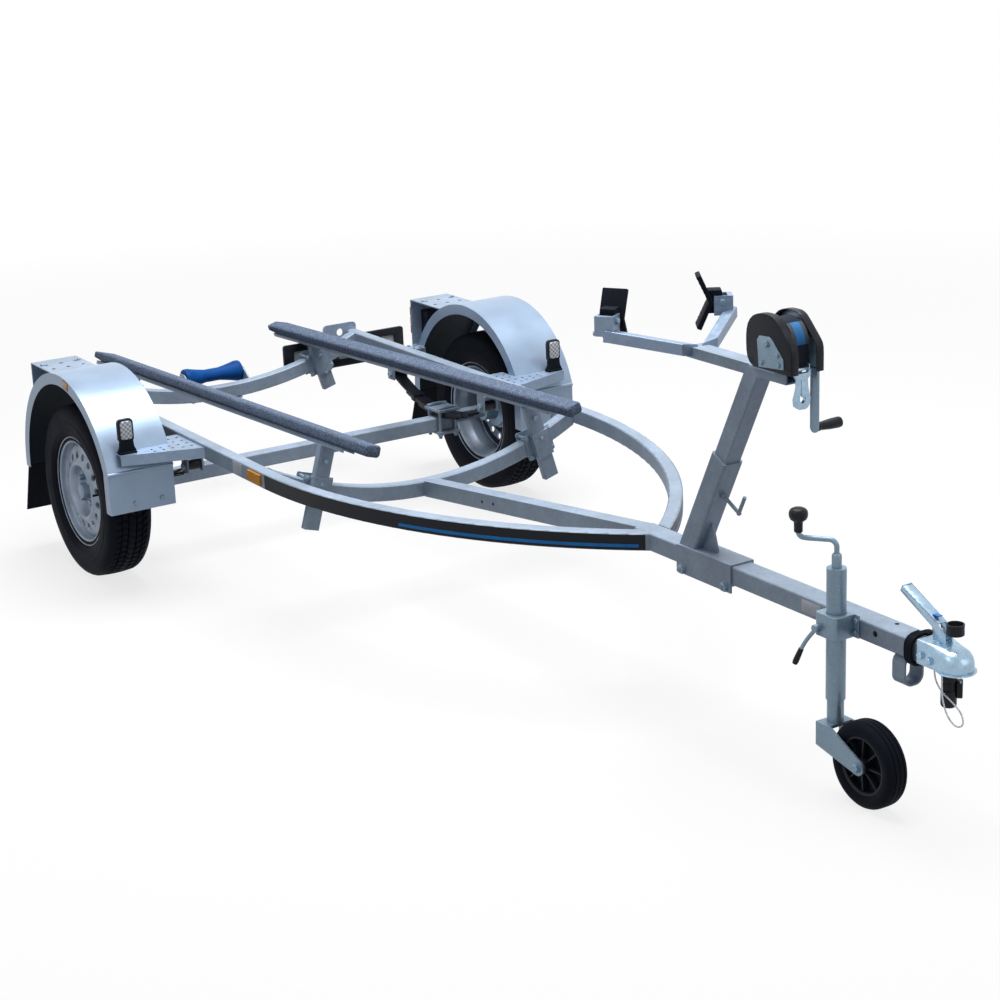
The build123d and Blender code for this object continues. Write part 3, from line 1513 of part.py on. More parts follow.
# ================================================================ cords
def tube_along(points, diameter, name):
    """A round cord through these points: straight runs joined by tangent arcs."""
    points = [Vector(*point) for point in points]
    radii = []
    for before, here, after in zip(points, points[1:], points[2:]):
        turn = (here - before).get_angle(after - here)
        run = min((here - before).length, (after - here).length)
        radii.append(0.45 * run / math.tan(math.radians(turn) / 2))
    print(name, "bend radii", [round(radius, 1) for radius in radii])
    with BuildPart() as cord:
        with BuildLine() as path:
            FilletPolyline(*points, radius=radii)
        with BuildSketch(Plane(origin=path.line @ 0, z_dir=path.line % 0)) as section:
            Circle(diameter / 2)
        sweep(section.sketch, path=path.line)
    length = sum(edge.length for edge in path.line.edges())
    expected = length * math.pi * diameter**2 / 4
    print(name, "length", round(length), "volume ratio", round(cord.part.volume / expected, 4))
    return cord


with BuildPart() as cable_coil:
    coil_back = (ahead(coil_rear), 0, over(-drawbar_height / 2))
    coil_plane = Plane(origin=coil_back, x_dir=(0, 1, 0), z_dir=(1, 0, 0))
    inner_width = drawbar_width + 2 * coil_clearance
    inner_height = drawbar_height + 2 * coil_clearance
    with BuildSketch(coil_plane):
        RectangleRounded(inner_width + 2 * coil_section, inner_height + 2 * coil_section, coil_corner)
        RectangleRounded(inner_width, inner_height, 3, mode=Mode.SUBTRACT)
    extrude(amount=coil_length)
write(cable_coil, "cable_coil")

lead_points = [(ahead(ball_ahead + along), across, over(height)) for along, across, height in LEAD]
cable_lead = tube_along(lead_points, cable_diameter, "cable_lead")
write(cable_lead, "cable_lead")

lead_end = Vector(*lead_points[-1])
lead_way = (lead_end - Vector(*lead_points[-2])).normalized()
plug_axis = lead_end + lead_way * gland_length
with BuildPart() as plug:
    rod(tuple(lead_end), tuple(plug_axis), gland_radius)
    rod(
        (plug_axis.X, plug_axis.Y, over(-plug_drop - plug_length)),
        (plug_axis.X, plug_axis.Y, over(-plug_drop)),
        plug_radius,
    )
    flap_place = Location((plug_axis.X, plug_axis.Y, over(-plug_drop - plug_length)), (0, 0, flap_turn))
    with Locations(flap_place):
        with Locations((plug_radius + 5, 0, 44)):
            Box(18, 26, 44)
write(plug, "plug")

tether_points = [(ahead(ball_ahead + along), across, over(height)) for along, across, height in TETHER]
safety_cable = tube_along(tether_points, tether_diameter, "safety_cable")
write(safety_cable, "safety_cable")
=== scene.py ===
"""Dresses the boat trailer's frame: finishes, tyres, carpet, winch, lamps and cords.

Sizes in this file are in millimetres in the row frame, +X ahead, +Y left, +Z up,
and become metres where a mesh is made. The frame gives the places.
"""
import json
import random
from math import asin, atan, copysign, cos, hypot, pi, radians, sin, sqrt, tan

import bmesh
import bpy
from bpy.props import FloatProperty, FloatVectorProperty, IntProperty, PointerProperty
from mathutils import Matrix, Vector


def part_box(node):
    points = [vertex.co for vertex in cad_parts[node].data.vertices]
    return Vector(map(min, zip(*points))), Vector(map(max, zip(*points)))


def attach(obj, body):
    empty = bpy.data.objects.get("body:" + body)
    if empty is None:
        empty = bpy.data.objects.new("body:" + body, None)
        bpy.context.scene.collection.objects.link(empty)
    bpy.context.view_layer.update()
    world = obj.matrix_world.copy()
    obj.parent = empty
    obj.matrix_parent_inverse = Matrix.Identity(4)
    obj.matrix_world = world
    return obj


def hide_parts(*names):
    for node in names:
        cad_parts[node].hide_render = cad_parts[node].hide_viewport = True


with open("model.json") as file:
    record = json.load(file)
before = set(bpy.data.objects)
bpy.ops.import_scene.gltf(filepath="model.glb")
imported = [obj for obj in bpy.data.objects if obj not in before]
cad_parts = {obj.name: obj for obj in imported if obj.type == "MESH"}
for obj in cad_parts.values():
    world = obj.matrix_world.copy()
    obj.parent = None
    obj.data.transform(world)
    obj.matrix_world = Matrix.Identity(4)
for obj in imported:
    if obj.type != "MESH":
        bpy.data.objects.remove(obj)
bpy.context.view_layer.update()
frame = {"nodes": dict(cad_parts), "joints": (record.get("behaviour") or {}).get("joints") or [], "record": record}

bl_info = {
    "name": "Boat Trailer",
    "version": (1, 0, 0),
    "blender": (4, 5, 0),
    "location": "View3D > Sidebar > Trailer",
    "description": "Finishes and fine parts of a single-axle boat trailer",
    "category": "Object",
}

SIDES = (("right", -1), ("left", 1))
FORWARD, LEFT, UP = Vector((1, 0, 0)), Vector((0, 1, 0)), Vector((0, 0, 1))
HERE = Vector((0, 0, 0))    # a piece's own origin


# ------------------------------------------------------------------ places
def corners(node):
    """A CAD node's lowest and highest corner, in millimetres."""
    low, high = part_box(node)
    return low * 1000, high * 1000


def middle(node):
    """The middle of a CAD node's box, in millimetres."""
    low, high = corners(node)
    return (low + high) / 2


def joint_place(name):
    """A joint's point, in millimetres."""
    found = next(joint for joint in frame["joints"] if joint["name"] == name)
    return Vector(found["pos_m"]) * 1000


FENDER_AHEAD, FENDER_Z = 20.0, 318.0     # the arch's middle, ahead of the axle and up
RAIL_TOP = corners("drawbar")[1].z
AXLE = joint_place("wheel_left_spin")


def ahead(distance):
    return AXLE.x + distance


def over(height):
    return RAIL_TOP + height


# ------------------------------------------------------------------ settings
def length(name, default, description):
    return FloatProperty(name=name, description=description, default=default, unit="LENGTH", subtype="DISTANCE")


def colour(name, default, description):
    return FloatVectorProperty(
        name=name, description=description, default=default, size=3, min=0, max=1, subtype="COLOR"
    )


class TrailerFinishes(bpy.types.PropertyGroup):
    galvanised: colour("Galvanised steel", (0.31, 0.385, 0.485), "Base colour of the dipped steel")
    sheet: colour("Galvanised sheet", (0.30, 0.395, 0.53), "Base colour of the fenders' sheet")
    zinc: colour("Zinc plate", (0.29, 0.40, 0.50), "Base colour of the plated fittings")
    rim: colour("Rim", (0.42, 0.50, 0.62), "Paint of the pressed rims")
    tyre: colour("Tyre", (0.006, 0.008, 0.013), "Rubber of the road tyres")
    rubber: colour("Black rubber", (0.007, 0.009, 0.014), "Pads, flaps and cables")
    plastic: colour("Black plastic", (0.007, 0.009, 0.014), "Plug, holder and lamp boxes")
    paint: colour("Black paint", (0.007, 0.009, 0.014), "Springs and winch covers")
    carpet_dark: colour("Carpet, dark", (0.064, 0.086, 0.140), "Dark fibres of the bunk carpet")
    carpet_light: colour("Carpet, light", (0.30, 0.38, 0.52), "Light fibres of the bunk carpet")
    roller: colour("Roller", (0.006, 0.060, 0.230), "Rubber of the keel roller")
    strap: colour("Strap", (0.008, 0.220, 0.620), "Winch webbing")
    strap_dark: colour("Wound strap", (0.012, 0.016, 0.030), "Winch webbing on the drum and at the hook")
    band: colour("Band", (0.014, 0.016, 0.021), "Black film along the rails")
    amber: colour("Amber lens", (1.00, 0.34, 0.00), "Side lamps and reflectors")
    red: colour("Red lens", (0.60, 0.01, 0.01), "Tail lamps")
    stripe: colour("Stripe", (0.02, 0.22, 0.62), "Stripe along the rail's black band")


class TrailerSizes(bpy.types.PropertyGroup):
    tread_depth: length("Tread depth", 0.007, "Depth of the tyre's grooves")
    tread_blocks: IntProperty(name="Tread blocks", description="Tread blocks round a tyre", default=72, min=24)


# ------------------------------------------------------------------ shader maths
class Value:
    """A shader socket that Python's arithmetic works on."""

    def __init__(self, nodes, socket):
        self.nodes = nodes
        self.socket = socket

    def math(self, operation, *others, clamp=False):
        settings = {"operation": operation, "use_clamp": clamp}
        return self.nodes.node("ShaderNodeMath", settings, self, *others)

    def __add__(self, other):
        return self.math("ADD", other)

    __radd__ = __add__

    def __mul__(self, other):
        return self.math("MULTIPLY", other)

    __rmul__ = __mul__

    def __sub__(self, other):
        return self.math("SUBTRACT", other)

    def __rsub__(self, other):
        return self.nodes.node("ShaderNodeMath", {"operation": "SUBTRACT"}, other, self)

    def __pow__(self, other):
        return self.math("POWER", other)

    def absolute(self):
        return self.math("ABSOLUTE")

    def sine(self):
        return self.math("SINE")

    def clamped(self):
        return self.math("ADD", 0.0, clamp=True)

    def larger(self, other):
        return self.math("MAXIMUM", other)


class Nodes:
    """A node tree, its nodes made by expressions."""

    def __init__(self, owner):
        owner.use_nodes = True
        self.tree = owner.node_tree

    def node(self, kind, settings, *values, output=None, **named):
        """A node with its settings made first, then the values or links of the sockets that these leave."""
        node = self.tree.nodes.new(kind)
        for setting, value in settings.items():
            setattr(node, setting, value)
        for socket, value in zip([socket for socket in node.inputs if socket.enabled], values):
            self.put(socket, value)
        for name, value in named.items():
            self.put(node.inputs[name.replace("_", " ")], value)
        first = next(socket for socket in node.outputs if socket.enabled)
        return Value(self, node.outputs[output] if output else first)

    def put(self, socket, value):
        """A link, a number or a colour into a socket."""
        if isinstance(value, Value):
            self.tree.links.new(value.socket, socket)
        else:
            opaque = isinstance(value, tuple) and len(value) < len(socket.default_value)
            socket.default_value = (*value, 1) if opaque else value

    def surface(self, output, factor, low, high):
        """Two shaders mixed, and shown by the output node."""
        mixed = self.node("ShaderNodeMixShader", {}, factor, low, high)
        self.put(self.tree.nodes[output].inputs["Surface"], mixed)

    def seen(self):
        """1 for the camera's rays and for those that a mirror or glass sends on."""
        camera, mirror, glass = (
            self.node("ShaderNodeLightPath", {}, output=f"Is {kind} Ray")
            for kind in ("Camera", "Glossy", "Transmission")
        )
        return camera.larger(mirror).larger(glass)


class Finish(Nodes):
    """One material."""

    made = {}

    def __init__(self, name, roughness=0.5, metallic=0.0, **constants):
        self.material = bpy.data.materials.new(name)
        super().__init__(self.material)
        self.shader = self.tree.nodes["Principled BSDF"]
        self.feed(Roughness=roughness, Metallic=metallic, **constants)
        Finish.made[name] = self.material

    def place(self):
        """Where a point is, in metres in the row frame, moving with its body."""
        return self.node("ShaderNodeTexCoord", {}, output="Object")

    def vector(self, operation, *values):
        return self.node("ShaderNodeVectorMath", {"operation": operation}, *values)

    def noise(self, scale, detail=2.0, vector=None):
        return self.node("ShaderNodeTexNoise", {}, Vector=vector or self.place(), Scale=scale, Detail=detail)

    def cells(self, scale, output="Distance"):
        return self.node("ShaderNodeTexVoronoi", {}, Vector=self.place(), Scale=scale, output=output)

    def specks(self, scale):
        """A random number for each cell."""
        return self.node("ShaderNodeSeparateColor", {}, self.cells(scale, "Color"))

    def axis(self, letter):
        return self.node("ShaderNodeSeparateXYZ", {}, self.place(), output=letter)

    def wave(self, letter, frequency):
        return (self.axis(letter) * frequency).sine()

    def ramp(self, value, low, high):
        """0 where value is at low, 1 at high, and clamped."""
        return ((value - low) * (1 / (high - low))).clamped()

    def mix(self, factor, low, high, blend="MIX"):
        settings = {"data_type": "RGBA", "blend_type": blend}
        return self.node("ShaderNodeMix", settings, factor, low, high)

    def feed(self, **sockets):
        """Values to the shader's sockets."""
        for name, value in sockets.items():
            self.put(self.shader.inputs[name.replace("_", " ")], value)

    def bump(self, height, distance, strength=1.0):
        bumps = {"Height": height, "Distance": distance, "Strength": strength}
        self.feed(Normal=self.node("ShaderNodeBump", {}, output="Normal", **bumps))


def shade(base, factor):
    """A colour made lighter or darker."""
    return tuple(min(1.0, channel * factor) for channel in base)


# ------------------------------------------------------------------ finishes
def steel(name, base, roughness, spangle, patina, metallic=0.08):
    """Zinc on steel: frosted crystals, soft stains and faint runs."""
    finish = Finish(name, metallic=metallic, Specular_IOR_Level=0.2)
    grain = finish.specks(spangle)
    stains = finish.noise(9.0, 4.0)
    runs = finish.noise(6.0, 3.0, finish.vector("MULTIPLY", finish.place(), (1.0, 1.0, 0.18)))
    tone = finish.ramp(stains * 0.55 + runs * 0.45, 0.36, 0.64)
    stained = finish.mix(tone, shade(base, 1 - patina), shade(base, 1 + patina))
    crystal = finish.mix(grain, (0.86, 0.87, 0.89), (1.0, 1.0, 1.0))
    finish.feed(
        Base_Color=finish.mix(1.0, stained, crystal, "MULTIPLY"),
        Roughness=stains * 0.22 + grain * 0.08 + (roughness - 0.14),
    )
    finish.bump(finish.noise(420.0) * 0.4 + finish.noise(55.0) * 0.6, 0.0006, 0.35)


def fender_sheet(base):
    """The fenders' sheet: plain outside, and darkened with painted shade on the arch's inside."""
    finish = Finish("fender_sheet", Specular_IOR_Level=0.2)
    stains = finish.noise(9.0, 4.0)
    unshaded = finish.mix(finish.ramp(stains, 0.36, 0.64), shade(base, 0.95), shade(base, 1.05))
    arch = (ahead(FENDER_AHEAD) / 1000, 0.0, FENDER_Z / 1000)
    outward = finish.vector("MULTIPLY", finish.vector("SUBTRACT", finish.place(), arch), (1.0, 0.0, 1.0))
    facing = finish.node("ShaderNodeNewGeometry", {}, output="Normal")
    turned_in = finish.vector("DOT_PRODUCT", finish.vector("NORMALIZE", outward), facing)
    # Painted shade: faces turned in towards the arch's middle get a tenth of the colour and less metal.
    painted_shade = finish.ramp(turned_in, -0.25, -0.60)
    finish.feed(
        Base_Color=finish.mix(painted_shade, unshaded, shade(base, 0.10)),
        Roughness=stains * 0.2 + painted_shade * 0.3 + 0.22, Metallic=painted_shade * -0.35 + 0.35,
    )
    finish.bump(finish.noise(55.0), 0.0004, 0.25)


def worn(name, base, patches, tone, roughness, rougher, **constants):
    """A plain colour with soft patches of dust or wear, of another tone and rougher."""
    finish = Finish(name, **constants)
    scale, detail, low, high = patches
    wear = finish.ramp(finish.noise(scale, detail), low, high)
    finish.feed(Base_Color=finish.mix(wear, base, shade(base, tone)), Roughness=wear * rougher + roughness)
    return finish


def rubber(name, base, roughness, texture):
    """Moulded rubber: fine tooth, dust that lightens it a little."""
    finish = worn(name, base, (14.0, 5.0, 0.35, 0.75), 1.5, roughness, 0.15, Specular_IOR_Level=0.06)
    finish.bump(finish.noise(texture, 3.0) + finish.cells(texture * 0.6) * 0.5, 0.0004, 0.4)


def relief(finish, pattern, dark, light, depth, strength):
    """A pattern in two tones that also stands up from the surface."""
    finish.feed(Base_Color=finish.mix(pattern, dark, light))
    finish.bump(pattern, depth, strength)


def lens(name, base):
    """Coloured lamp plastic with pressed prisms behind a smooth face."""
    finish = Finish(name, roughness=0.2, Specular_IOR_Level=0.25)
    prisms = (finish.wave("Z", 1900.0) * 0.5 + 0.5) * (finish.wave("Y", 1900.0) * 0.5 + 0.5)
    relief(finish, prisms, shade(base, 0.55), shade(base, 1.25), 0.0007, 0.5)


def make_finishes(colours):
    """All the finishes, in the user's colours."""
    base = {name: tuple(getattr(colours, name)) for name in colours.__annotations__}
    steel("galvanised_steel", base["galvanised"], 0.44, 90.0, 0.14)
    steel("galvanised_sheet", base["sheet"], 0.34, 60.0, 0.05, 0.35)
    fender_sheet(base["sheet"])
    steel("zinc_plate", base["zinc"], 0.34, 240.0, 0.08, 0.35)
    steel("bright_zinc", shade(base["zinc"], 1.35), 0.26, 120.0, 0.10, 0.75)

    patches = (18.0, 5.0, 0.40, 0.70)
    rim = worn("rim_paint", base["rim"], patches, 0.72, 0.32, 0.15, metallic=0.25, Specular_IOR_Level=0.3)
    rim.bump(rim.specks(900.0), 0.0002, 0.15)
    # Painted shade: a near-black copy of the rim's paint, for the linings behind the disc.
    rubber("rim_inside", shade(base["rim"], 0.12), 0.7, 200.0)
    rubber("tyre_rubber", base["tyre"], 0.62, 260.0)
    rubber("black_rubber", base["rubber"], 0.55, 300.0)
    rubber("roller_rubber", base["roller"], 0.38, 240.0)

    patches = (22.0, 5.0, 0.40, 0.72)
    plastic = worn("black_plastic", base["plastic"], patches, 1.8, 0.36, 0.2, Specular_IOR_Level=0.2)
    plastic.bump(plastic.noise(600.0), 0.0003, 0.4)
    patches = (30.0, 6.0, 0.56, 0.70)
    paint = worn("black_paint", base["paint"], patches, 1.8, 0.38, 0.3, Specular_IOR_Level=0.2)
    paint.bump(paint.noise(180.0, 3.0), 0.0005, 0.35)

    carpet = Finish("bunk_carpet", roughness=0.95, Specular_IOR_Level=0.05)
    speckle = carpet.ramp(carpet.specks(300.0), 0.50, 1.0)
    fleck = carpet.ramp(carpet.specks(520.0), 0.45, 1.0)
    blend = (speckle * 0.42 + fleck * 0.34 + carpet.noise(35.0, 3.0) * 0.30).clamped()
    carpet.feed(Base_Color=carpet.mix(blend, base["carpet_dark"], base["carpet_light"]))
    carpet.bump(1.0 - carpet.cells(420.0), 0.002, 0.8)

    lens("amber_lens", base["amber"])
    lens("red_lens", base["red"])
    clear = Finish("clear_lens", roughness=0.12, Coat_Weight=0.6, Coat_Roughness=0.05)
    facets = clear.wave("Y", 420.0) * clear.wave("Z", 420.0) * 0.5 + 0.5
    relief(clear, facets, (0.16, 0.19, 0.23), (0.80, 0.84, 0.88), 0.0005, 0.4)

    strap = Finish("strap_webbing", roughness=0.75, Sheen_Weight=0.2)
    weave = strap.wave("Y", 2600.0) * strap.wave("Z", 2200.0) * 0.5 + 0.5
    edge = strap.ramp(strap.axis("Y").absolute(), 0.012, 0.014)
    body = strap.mix(weave, shade(base["strap"], 0.5), shade(base["strap"], 1.2))
    strap.feed(Base_Color=strap.mix(edge, body, (0.03, 0.04, 0.06)))
    strap.bump(weave, 0.0008, 0.8)
    dark = base["strap_dark"]
    wound = Finish("strap_wound", roughness=0.8, Specular_IOR_Level=0.2)
    relief(wound, wound.wave("Y", 2600.0) * 0.5 + 0.5, shade(dark, 0.6), shade(dark, 1.3), 0.0006, 0.6)
    rope = Finish("steel_rope", roughness=0.35, metallic=0.9)
    twist = ((rope.axis("X") + rope.axis("Z")) * 2400.0).sine() * 0.5 + 0.5
    relief(rope, twist, (0.20, 0.22, 0.25), (0.60, 0.62, 0.66), 0.0006, 0.8)

    for name, tint, rough in (
        ("band_film", base["band"], 0.38), ("stripe_film", base["stripe"], 0.35),
        ("plate_white", (0.62, 0.63, 0.64), 0.45), ("plate_foil", (0.50, 0.53, 0.57), 0.35),
        # hole_dark is near black: painted shade for the insides of the holes.
        ("hole_dark", (0.006, 0.007, 0.009), 0.8), ("lock_blue", (0.02, 0.16, 0.50), 0.4),
    ):
        film = worn(name, tint, (24.0, 4.0, 0.35, 0.75), 1.25, rough, 0.12, Specular_IOR_Level=0.15)
        film.bump(film.noise(300.0), 0.0001, 0.25)


NODE_FINISH = {
    "black_steel": "black_paint",
    "galvanised": "galvanised_steel",
    "zinc": "zinc_plate",
    "tyre": "tyre_rubber",
    "rim": "rim_paint",
    "black_rubber": "black_rubber",
    "black_plastic": "black_plastic",
    "carpet": "bunk_carpet",
    "blue_rubber": "roller_rubber",
    "red_lens": "red_lens",
    "amber_lens": "amber_lens",
    "webbing": "strap_webbing",
    "steel_rope": "steel_rope",
}
OWN_FINISH = {
    "fender_left": "fender_sheet",
    "fender_right": "fender_sheet",
    "bow_fork": "galvanised_sheet",
    "step_plates": "galvanised_sheet",
}


class TRAILER_OT_finishes(bpy.types.Operator):
    """Makes the finishes and puts them on the frame's own nodes"""

    bl_idname = "trailer.finishes"
    bl_label = "Finishes"

    def execute(self, context):
        make_finishes(context.scene.trailer_finishes)
        slots = {part["node"]: part["material_slot"] for part in frame["record"]["subparts"]}
        for name, node in frame["nodes"].items():
            node.data.materials.clear()
            finish = OWN_FINISH.get(name, NODE_FINISH[slots[name]])
            node.data.materials.append(Finish.made[finish])
        return {"FINISHED"}


# ------------------------------------------------------------------ stage
CAMERA = {
    "ahead_of_axle": 6518.7,
    "left": -3291.0,
    "above_rails": 1821.3,
    "heading": 147.95,
    "dip": -17.26,
    "roll": -2.24,
    "focal": 78.38,
}
LAMPS = (
    # name, place in metres, size in metres, watts
    ("key_lamp", (1.5, -6.0, 5.5), 4.0, 60),
    ("fill_lamp", (6.5, 2.5, 3.5), 4.0, 45),
    ("top_lamp", (-0.5, 0.5, 6.5), 5.0, 620),
)
LIT_POINT = Vector((0, 0, 0.4))     # in metres
WHITE = (1.0, 1.0, 1.0, 1.0)
SKY = ((0.93, 0.96, 1.0, 1.0), 0.16)
FLOOR = {"base": (0.14, 0.14, 0.145), "glow": 0.76, "fade": (2.2, 6.5), "radius": 60}     # lengths in metres


def make_camera(scene):
    """The three-quarter view from ahead and the right, turned a little about its own axis."""
    data = bpy.data.cameras.new("camera")
    data.sensor_width = 36
    data.lens = CAMERA["focal"]
    data.clip_end = 200
    heading, dip, roll = (radians(CAMERA[key]) for key in ("heading", "dip", "roll"))
    forward = Vector((cos(dip) * cos(heading), cos(dip) * sin(heading), sin(dip)))
    right = Vector((sin(heading), -cos(heading), 0))
    up = right.cross(forward)
    level_right = right * cos(roll) + up * sin(roll)
    level_up = up * cos(roll) - right * sin(roll)
    turn = Matrix((level_right, level_up, -forward)).transposed()
    camera = bpy.data.objects.new("camera", data)
    place = Vector((ahead(CAMERA["ahead_of_axle"]), CAMERA["left"], over(CAMERA["above_rails"])))
    camera.matrix_world = Matrix.Translation(place / 1000) @ turn.to_4x4()
    scene.collection.objects.link(camera)
    scene.camera = camera


def make_floor():
    """A wide pale disc under the wheels, sloped to reach the jockey wheel, fading into white."""
    finish = Finish("floor_paint", roughness=0.9)
    finish.feed(Base_Color=FLOOR["base"])
    paint, seen = Value(finish, finish.shader.outputs[0]), finish.seen()
    glow = finish.node("ShaderNodeEmission", {}, WHITE, FLOOR["glow"])
    lit = finish.node("ShaderNodeAddShader", {}, paint, glow)
    near = finish.node("ShaderNodeMixShader", {}, seen, paint, lit)
    x, y = finish.axis("X"), finish.axis("Y")
    far = finish.ramp((x * x + y * y) ** 0.5, *FLOOR["fade"]) * seen
    finish.surface("Material Output", far, near, finish.node("ShaderNodeEmission", {}, WHITE))
    mesh = bpy.data.meshes.new("floor")
    work = bmesh.new()
    bmesh.ops.create_circle(work, cap_ends=True, segments=96, radius=FLOOR["radius"])
    work.to_mesh(mesh)
    work.free()
    mesh.materials.append(finish.material)
    floor = bpy.data.objects.new("floor", mesh)
    wheel = joint_place("jockey_wheel_spin")
    rise = (wheel.z - (corners("jockey_wheel")[1].z - wheel.z)) / (wheel.x - AXLE.x)
    floor.location = (AXLE.x / 1000, 0, 0)
    floor.rotation_euler = (0, -atan(rise), 0)
    bpy.context.scene.collection.objects.link(floor)


def make_lamps(scene):
    """Three soft lamps, and a world that lights faintly and shows white."""
    for name, place, size, watts in LAMPS:
        data = bpy.data.lights.new(name, "AREA")
        data.shape = "DISK"
        data.size = size
        data.energy = watts
        lamp = bpy.data.objects.new(name, data)
        lamp.location = place
        lamp.rotation_euler = (LIT_POINT - Vector(place)).to_track_quat("-Z", "Y").to_euler()
        scene.collection.objects.link(lamp)
    scene.world = bpy.data.worlds.new("studio")
    studio = Nodes(scene.world)
    soft, white = (studio.node("ShaderNodeBackground", {}, *sky) for sky in (SKY, (WHITE, 1.0)))
    studio.surface("World Output", studio.seen(), soft, white)


class TRAILER_OT_stage(bpy.types.Operator):
    """Sets the camera, the pale floor and the soft lamps"""

    bl_idname = "trailer.stage"
    bl_label = "Stage"

    def execute(self, context):
        scene = context.scene
        scene.view_settings.view_transform = "Standard"
        make_camera(scene)
        make_floor()
        make_lamps(scene)
        return {"FINISHED"}


# ------------------------------------------------------------------ mesh work
def square_to(direction):
    """Two unit vectors square to a direction and to each other."""
    direction = direction.normalized()
    guide = UP if abs(direction.z) < 0.9 else FORWARD
    first = guide.cross(direction).normalized()
    return first, direction.cross(first)


def stitch(work, rings, closed=True, wrap=False, caps=False):
    """Faces from ring to ring: closed round each ring, and joined from the last to the first or capped."""
    for here, there in zip(rings, rings[1:] + rings[:1] if wrap else rings[1:]):
        for step in range(len(here) if closed else len(here) - 1):
            after = (step + 1) % len(here)
            work.faces.new((here[step], here[after], there[after], there[step]))
    if caps:
        work.faces.new(rings[0])
        work.faces.new(rings[-1])


class Piece:
    """One piece being made. Shapes go in by millimetres from its origin, in its own finish or another."""

    def __init__(self, name, finish="zinc_plate", origin=HERE):
        self.name = name
        self.finish = finish
        self.origin = Vector(origin)
        self.mesh = bmesh.new()
        self.finishes = []

    def take(self, work, bevel=0.0, steps=2, matrix=None, finish=None):
        """Adds a shape, with its sharp edges rounded."""
        bmesh.ops.recalc_face_normals(work, faces=work.faces)
        if bevel:
            sharp = [edge for edge in work.edges if edge.is_manifold and edge.calc_face_angle() > 0.5]
            bmesh.ops.bevel(
                work, geom=sharp, offset=bevel, segments=steps, affect="EDGES", profile=0.5, clamp_overlap=True
            )
        finish = finish or self.finish
        if finish not in self.finishes:
            self.finishes.append(finish)
        for face in work.faces:
            face.material_index = self.finishes.index(finish)
            face.smooth = True
        if matrix:
            bmesh.ops.transform(work, matrix=matrix, verts=work.verts)
        bmesh.ops.translate(work, vec=self.origin, verts=work.verts)
        held = bpy.data.meshes.new("held")
        work.to_mesh(held)
        work.free()
        self.mesh.from_mesh(held)
        bpy.data.meshes.remove(held)

    def prism(self, outline, origin, across, normal, depth, bevel=1.0, steps=2, holes=(), finish=None):
        """An outline, given across and up from the origin, pushed along its normal."""
        origin, across, normal = Vector(origin), Vector(across).normalized(), Vector(normal).normalized()
        upward = normal.cross(across)
        work = bmesh.new()
        ends = []
        for lift in (0.0, depth):
            base = origin + normal * lift
            ends.append([[work.verts.new(base + across * x + upward * y) for x, y in ring]
                         for ring in (outline, *holes)])
        for rings in ends:
            if holes:
                edges = [work.edges.new(pair) for ring in rings for pair in zip(ring, ring[1:] + ring[:1])]
                bmesh.ops.triangle_fill(work, edges=edges, use_beauty=True)
            else:
                work.faces.new(rings[0])
        for pair in zip(*ends):
            stitch(work, pair)
        self.take(work, bevel, steps, finish=finish)

    def box(self, low, high, bevel=1.0, steps=2, finish=None):
        low, high = Vector(map(min, low, high)), Vector(map(max, low, high))
        size = high - low
        outline = [(0, 0), (size.x, 0), (size.x, size.y), (0, size.y)]
        self.prism(outline, low, FORWARD, UP, size.z, bevel, steps, finish=finish)

    def lathe(self, profile, origin, direction, steps=48, closed=False, finish=None):
        """A profile of (along, radius) turned about a line."""
        origin, direction = Vector(origin), Vector(direction).normalized()
        first, second = square_to(direction)
        work = bmesh.new()
        rings = []
        for index in range(steps):
            angle = 2 * pi * index / steps
            outward = first * cos(angle) + second * sin(angle)
            rings.append([work.verts.new(origin + direction * a + outward * r) for a, r in profile])
        stitch(work, rings, closed, wrap=True)
        bmesh.ops.remove_doubles(work, verts=work.verts, dist=0.001)
        self.take(work, finish=finish)

    def rod(self, start, end, radius, steps=24, bevel=1.0, finish=None):
        """A round bar with eased ends."""
        start, end = Vector(start), Vector(end)
        run = (end - start).length
        ease = min(bevel, radius * 0.5, run * 0.4)
        half = [(0, 0), (0, radius - ease), (ease * 0.3, radius - ease * 0.3), (ease, radius)]
        profile = half + [(run - along, reach) for along, reach in reversed(half)]
        self.lathe(profile, start, end - start, steps, finish=finish)

    def tube(self, points, radius, steps=16, finish=None):
        """A round tube along points that are close together, with one radius or one for each."""
        points = [Vector(point) for point in points]
        radii = radius if isinstance(radius, list) else [radius] * len(points)
        work = bmesh.new()
        rings = []
        side = None
        for index, point in enumerate(points):
            way = (points[min(index + 1, len(points) - 1)] - points[max(index - 1, 0)]).normalized()
            side = square_to(way)[0] if side is None else (side - way * side.dot(way)).normalized()
            other = way.cross(side)
            ring = []
            for step in range(steps):
                angle = 2 * pi * step / steps
                ring.append(work.verts.new(point + (side * cos(angle) + other * sin(angle)) * radii[index]))
            rings.append(ring)
        stitch(work, rings, caps=True)
        self.take(work, finish=finish)

    def bolt(self, place, direction, size, thread=0.0, washer=True, finish=None):
        """A hex head on a washer, its face on place, with this much of its thread above that."""
        place, direction = Vector(place), Vector(direction).normalized()
        if washer:
            thick = size * 0.18
            ring = [(0, 0), (0, size * 1.1), (thick, size * 1.1), (thick, 0)]
            self.lathe(ring, place, direction, 24, finish=finish)
            place = place + direction * thick
        tall = size * 0.65
        flat = size * 0.92
        head = [(0, 0), (0, flat), (tall * 0.8, flat), (tall, flat * 0.82), (tall, 0)]
        self.lathe(head, place, direction, 6, finish=finish)
        if thread:
            self.rod(place, place + direction * thread, size * 0.5, 16, finish=finish)

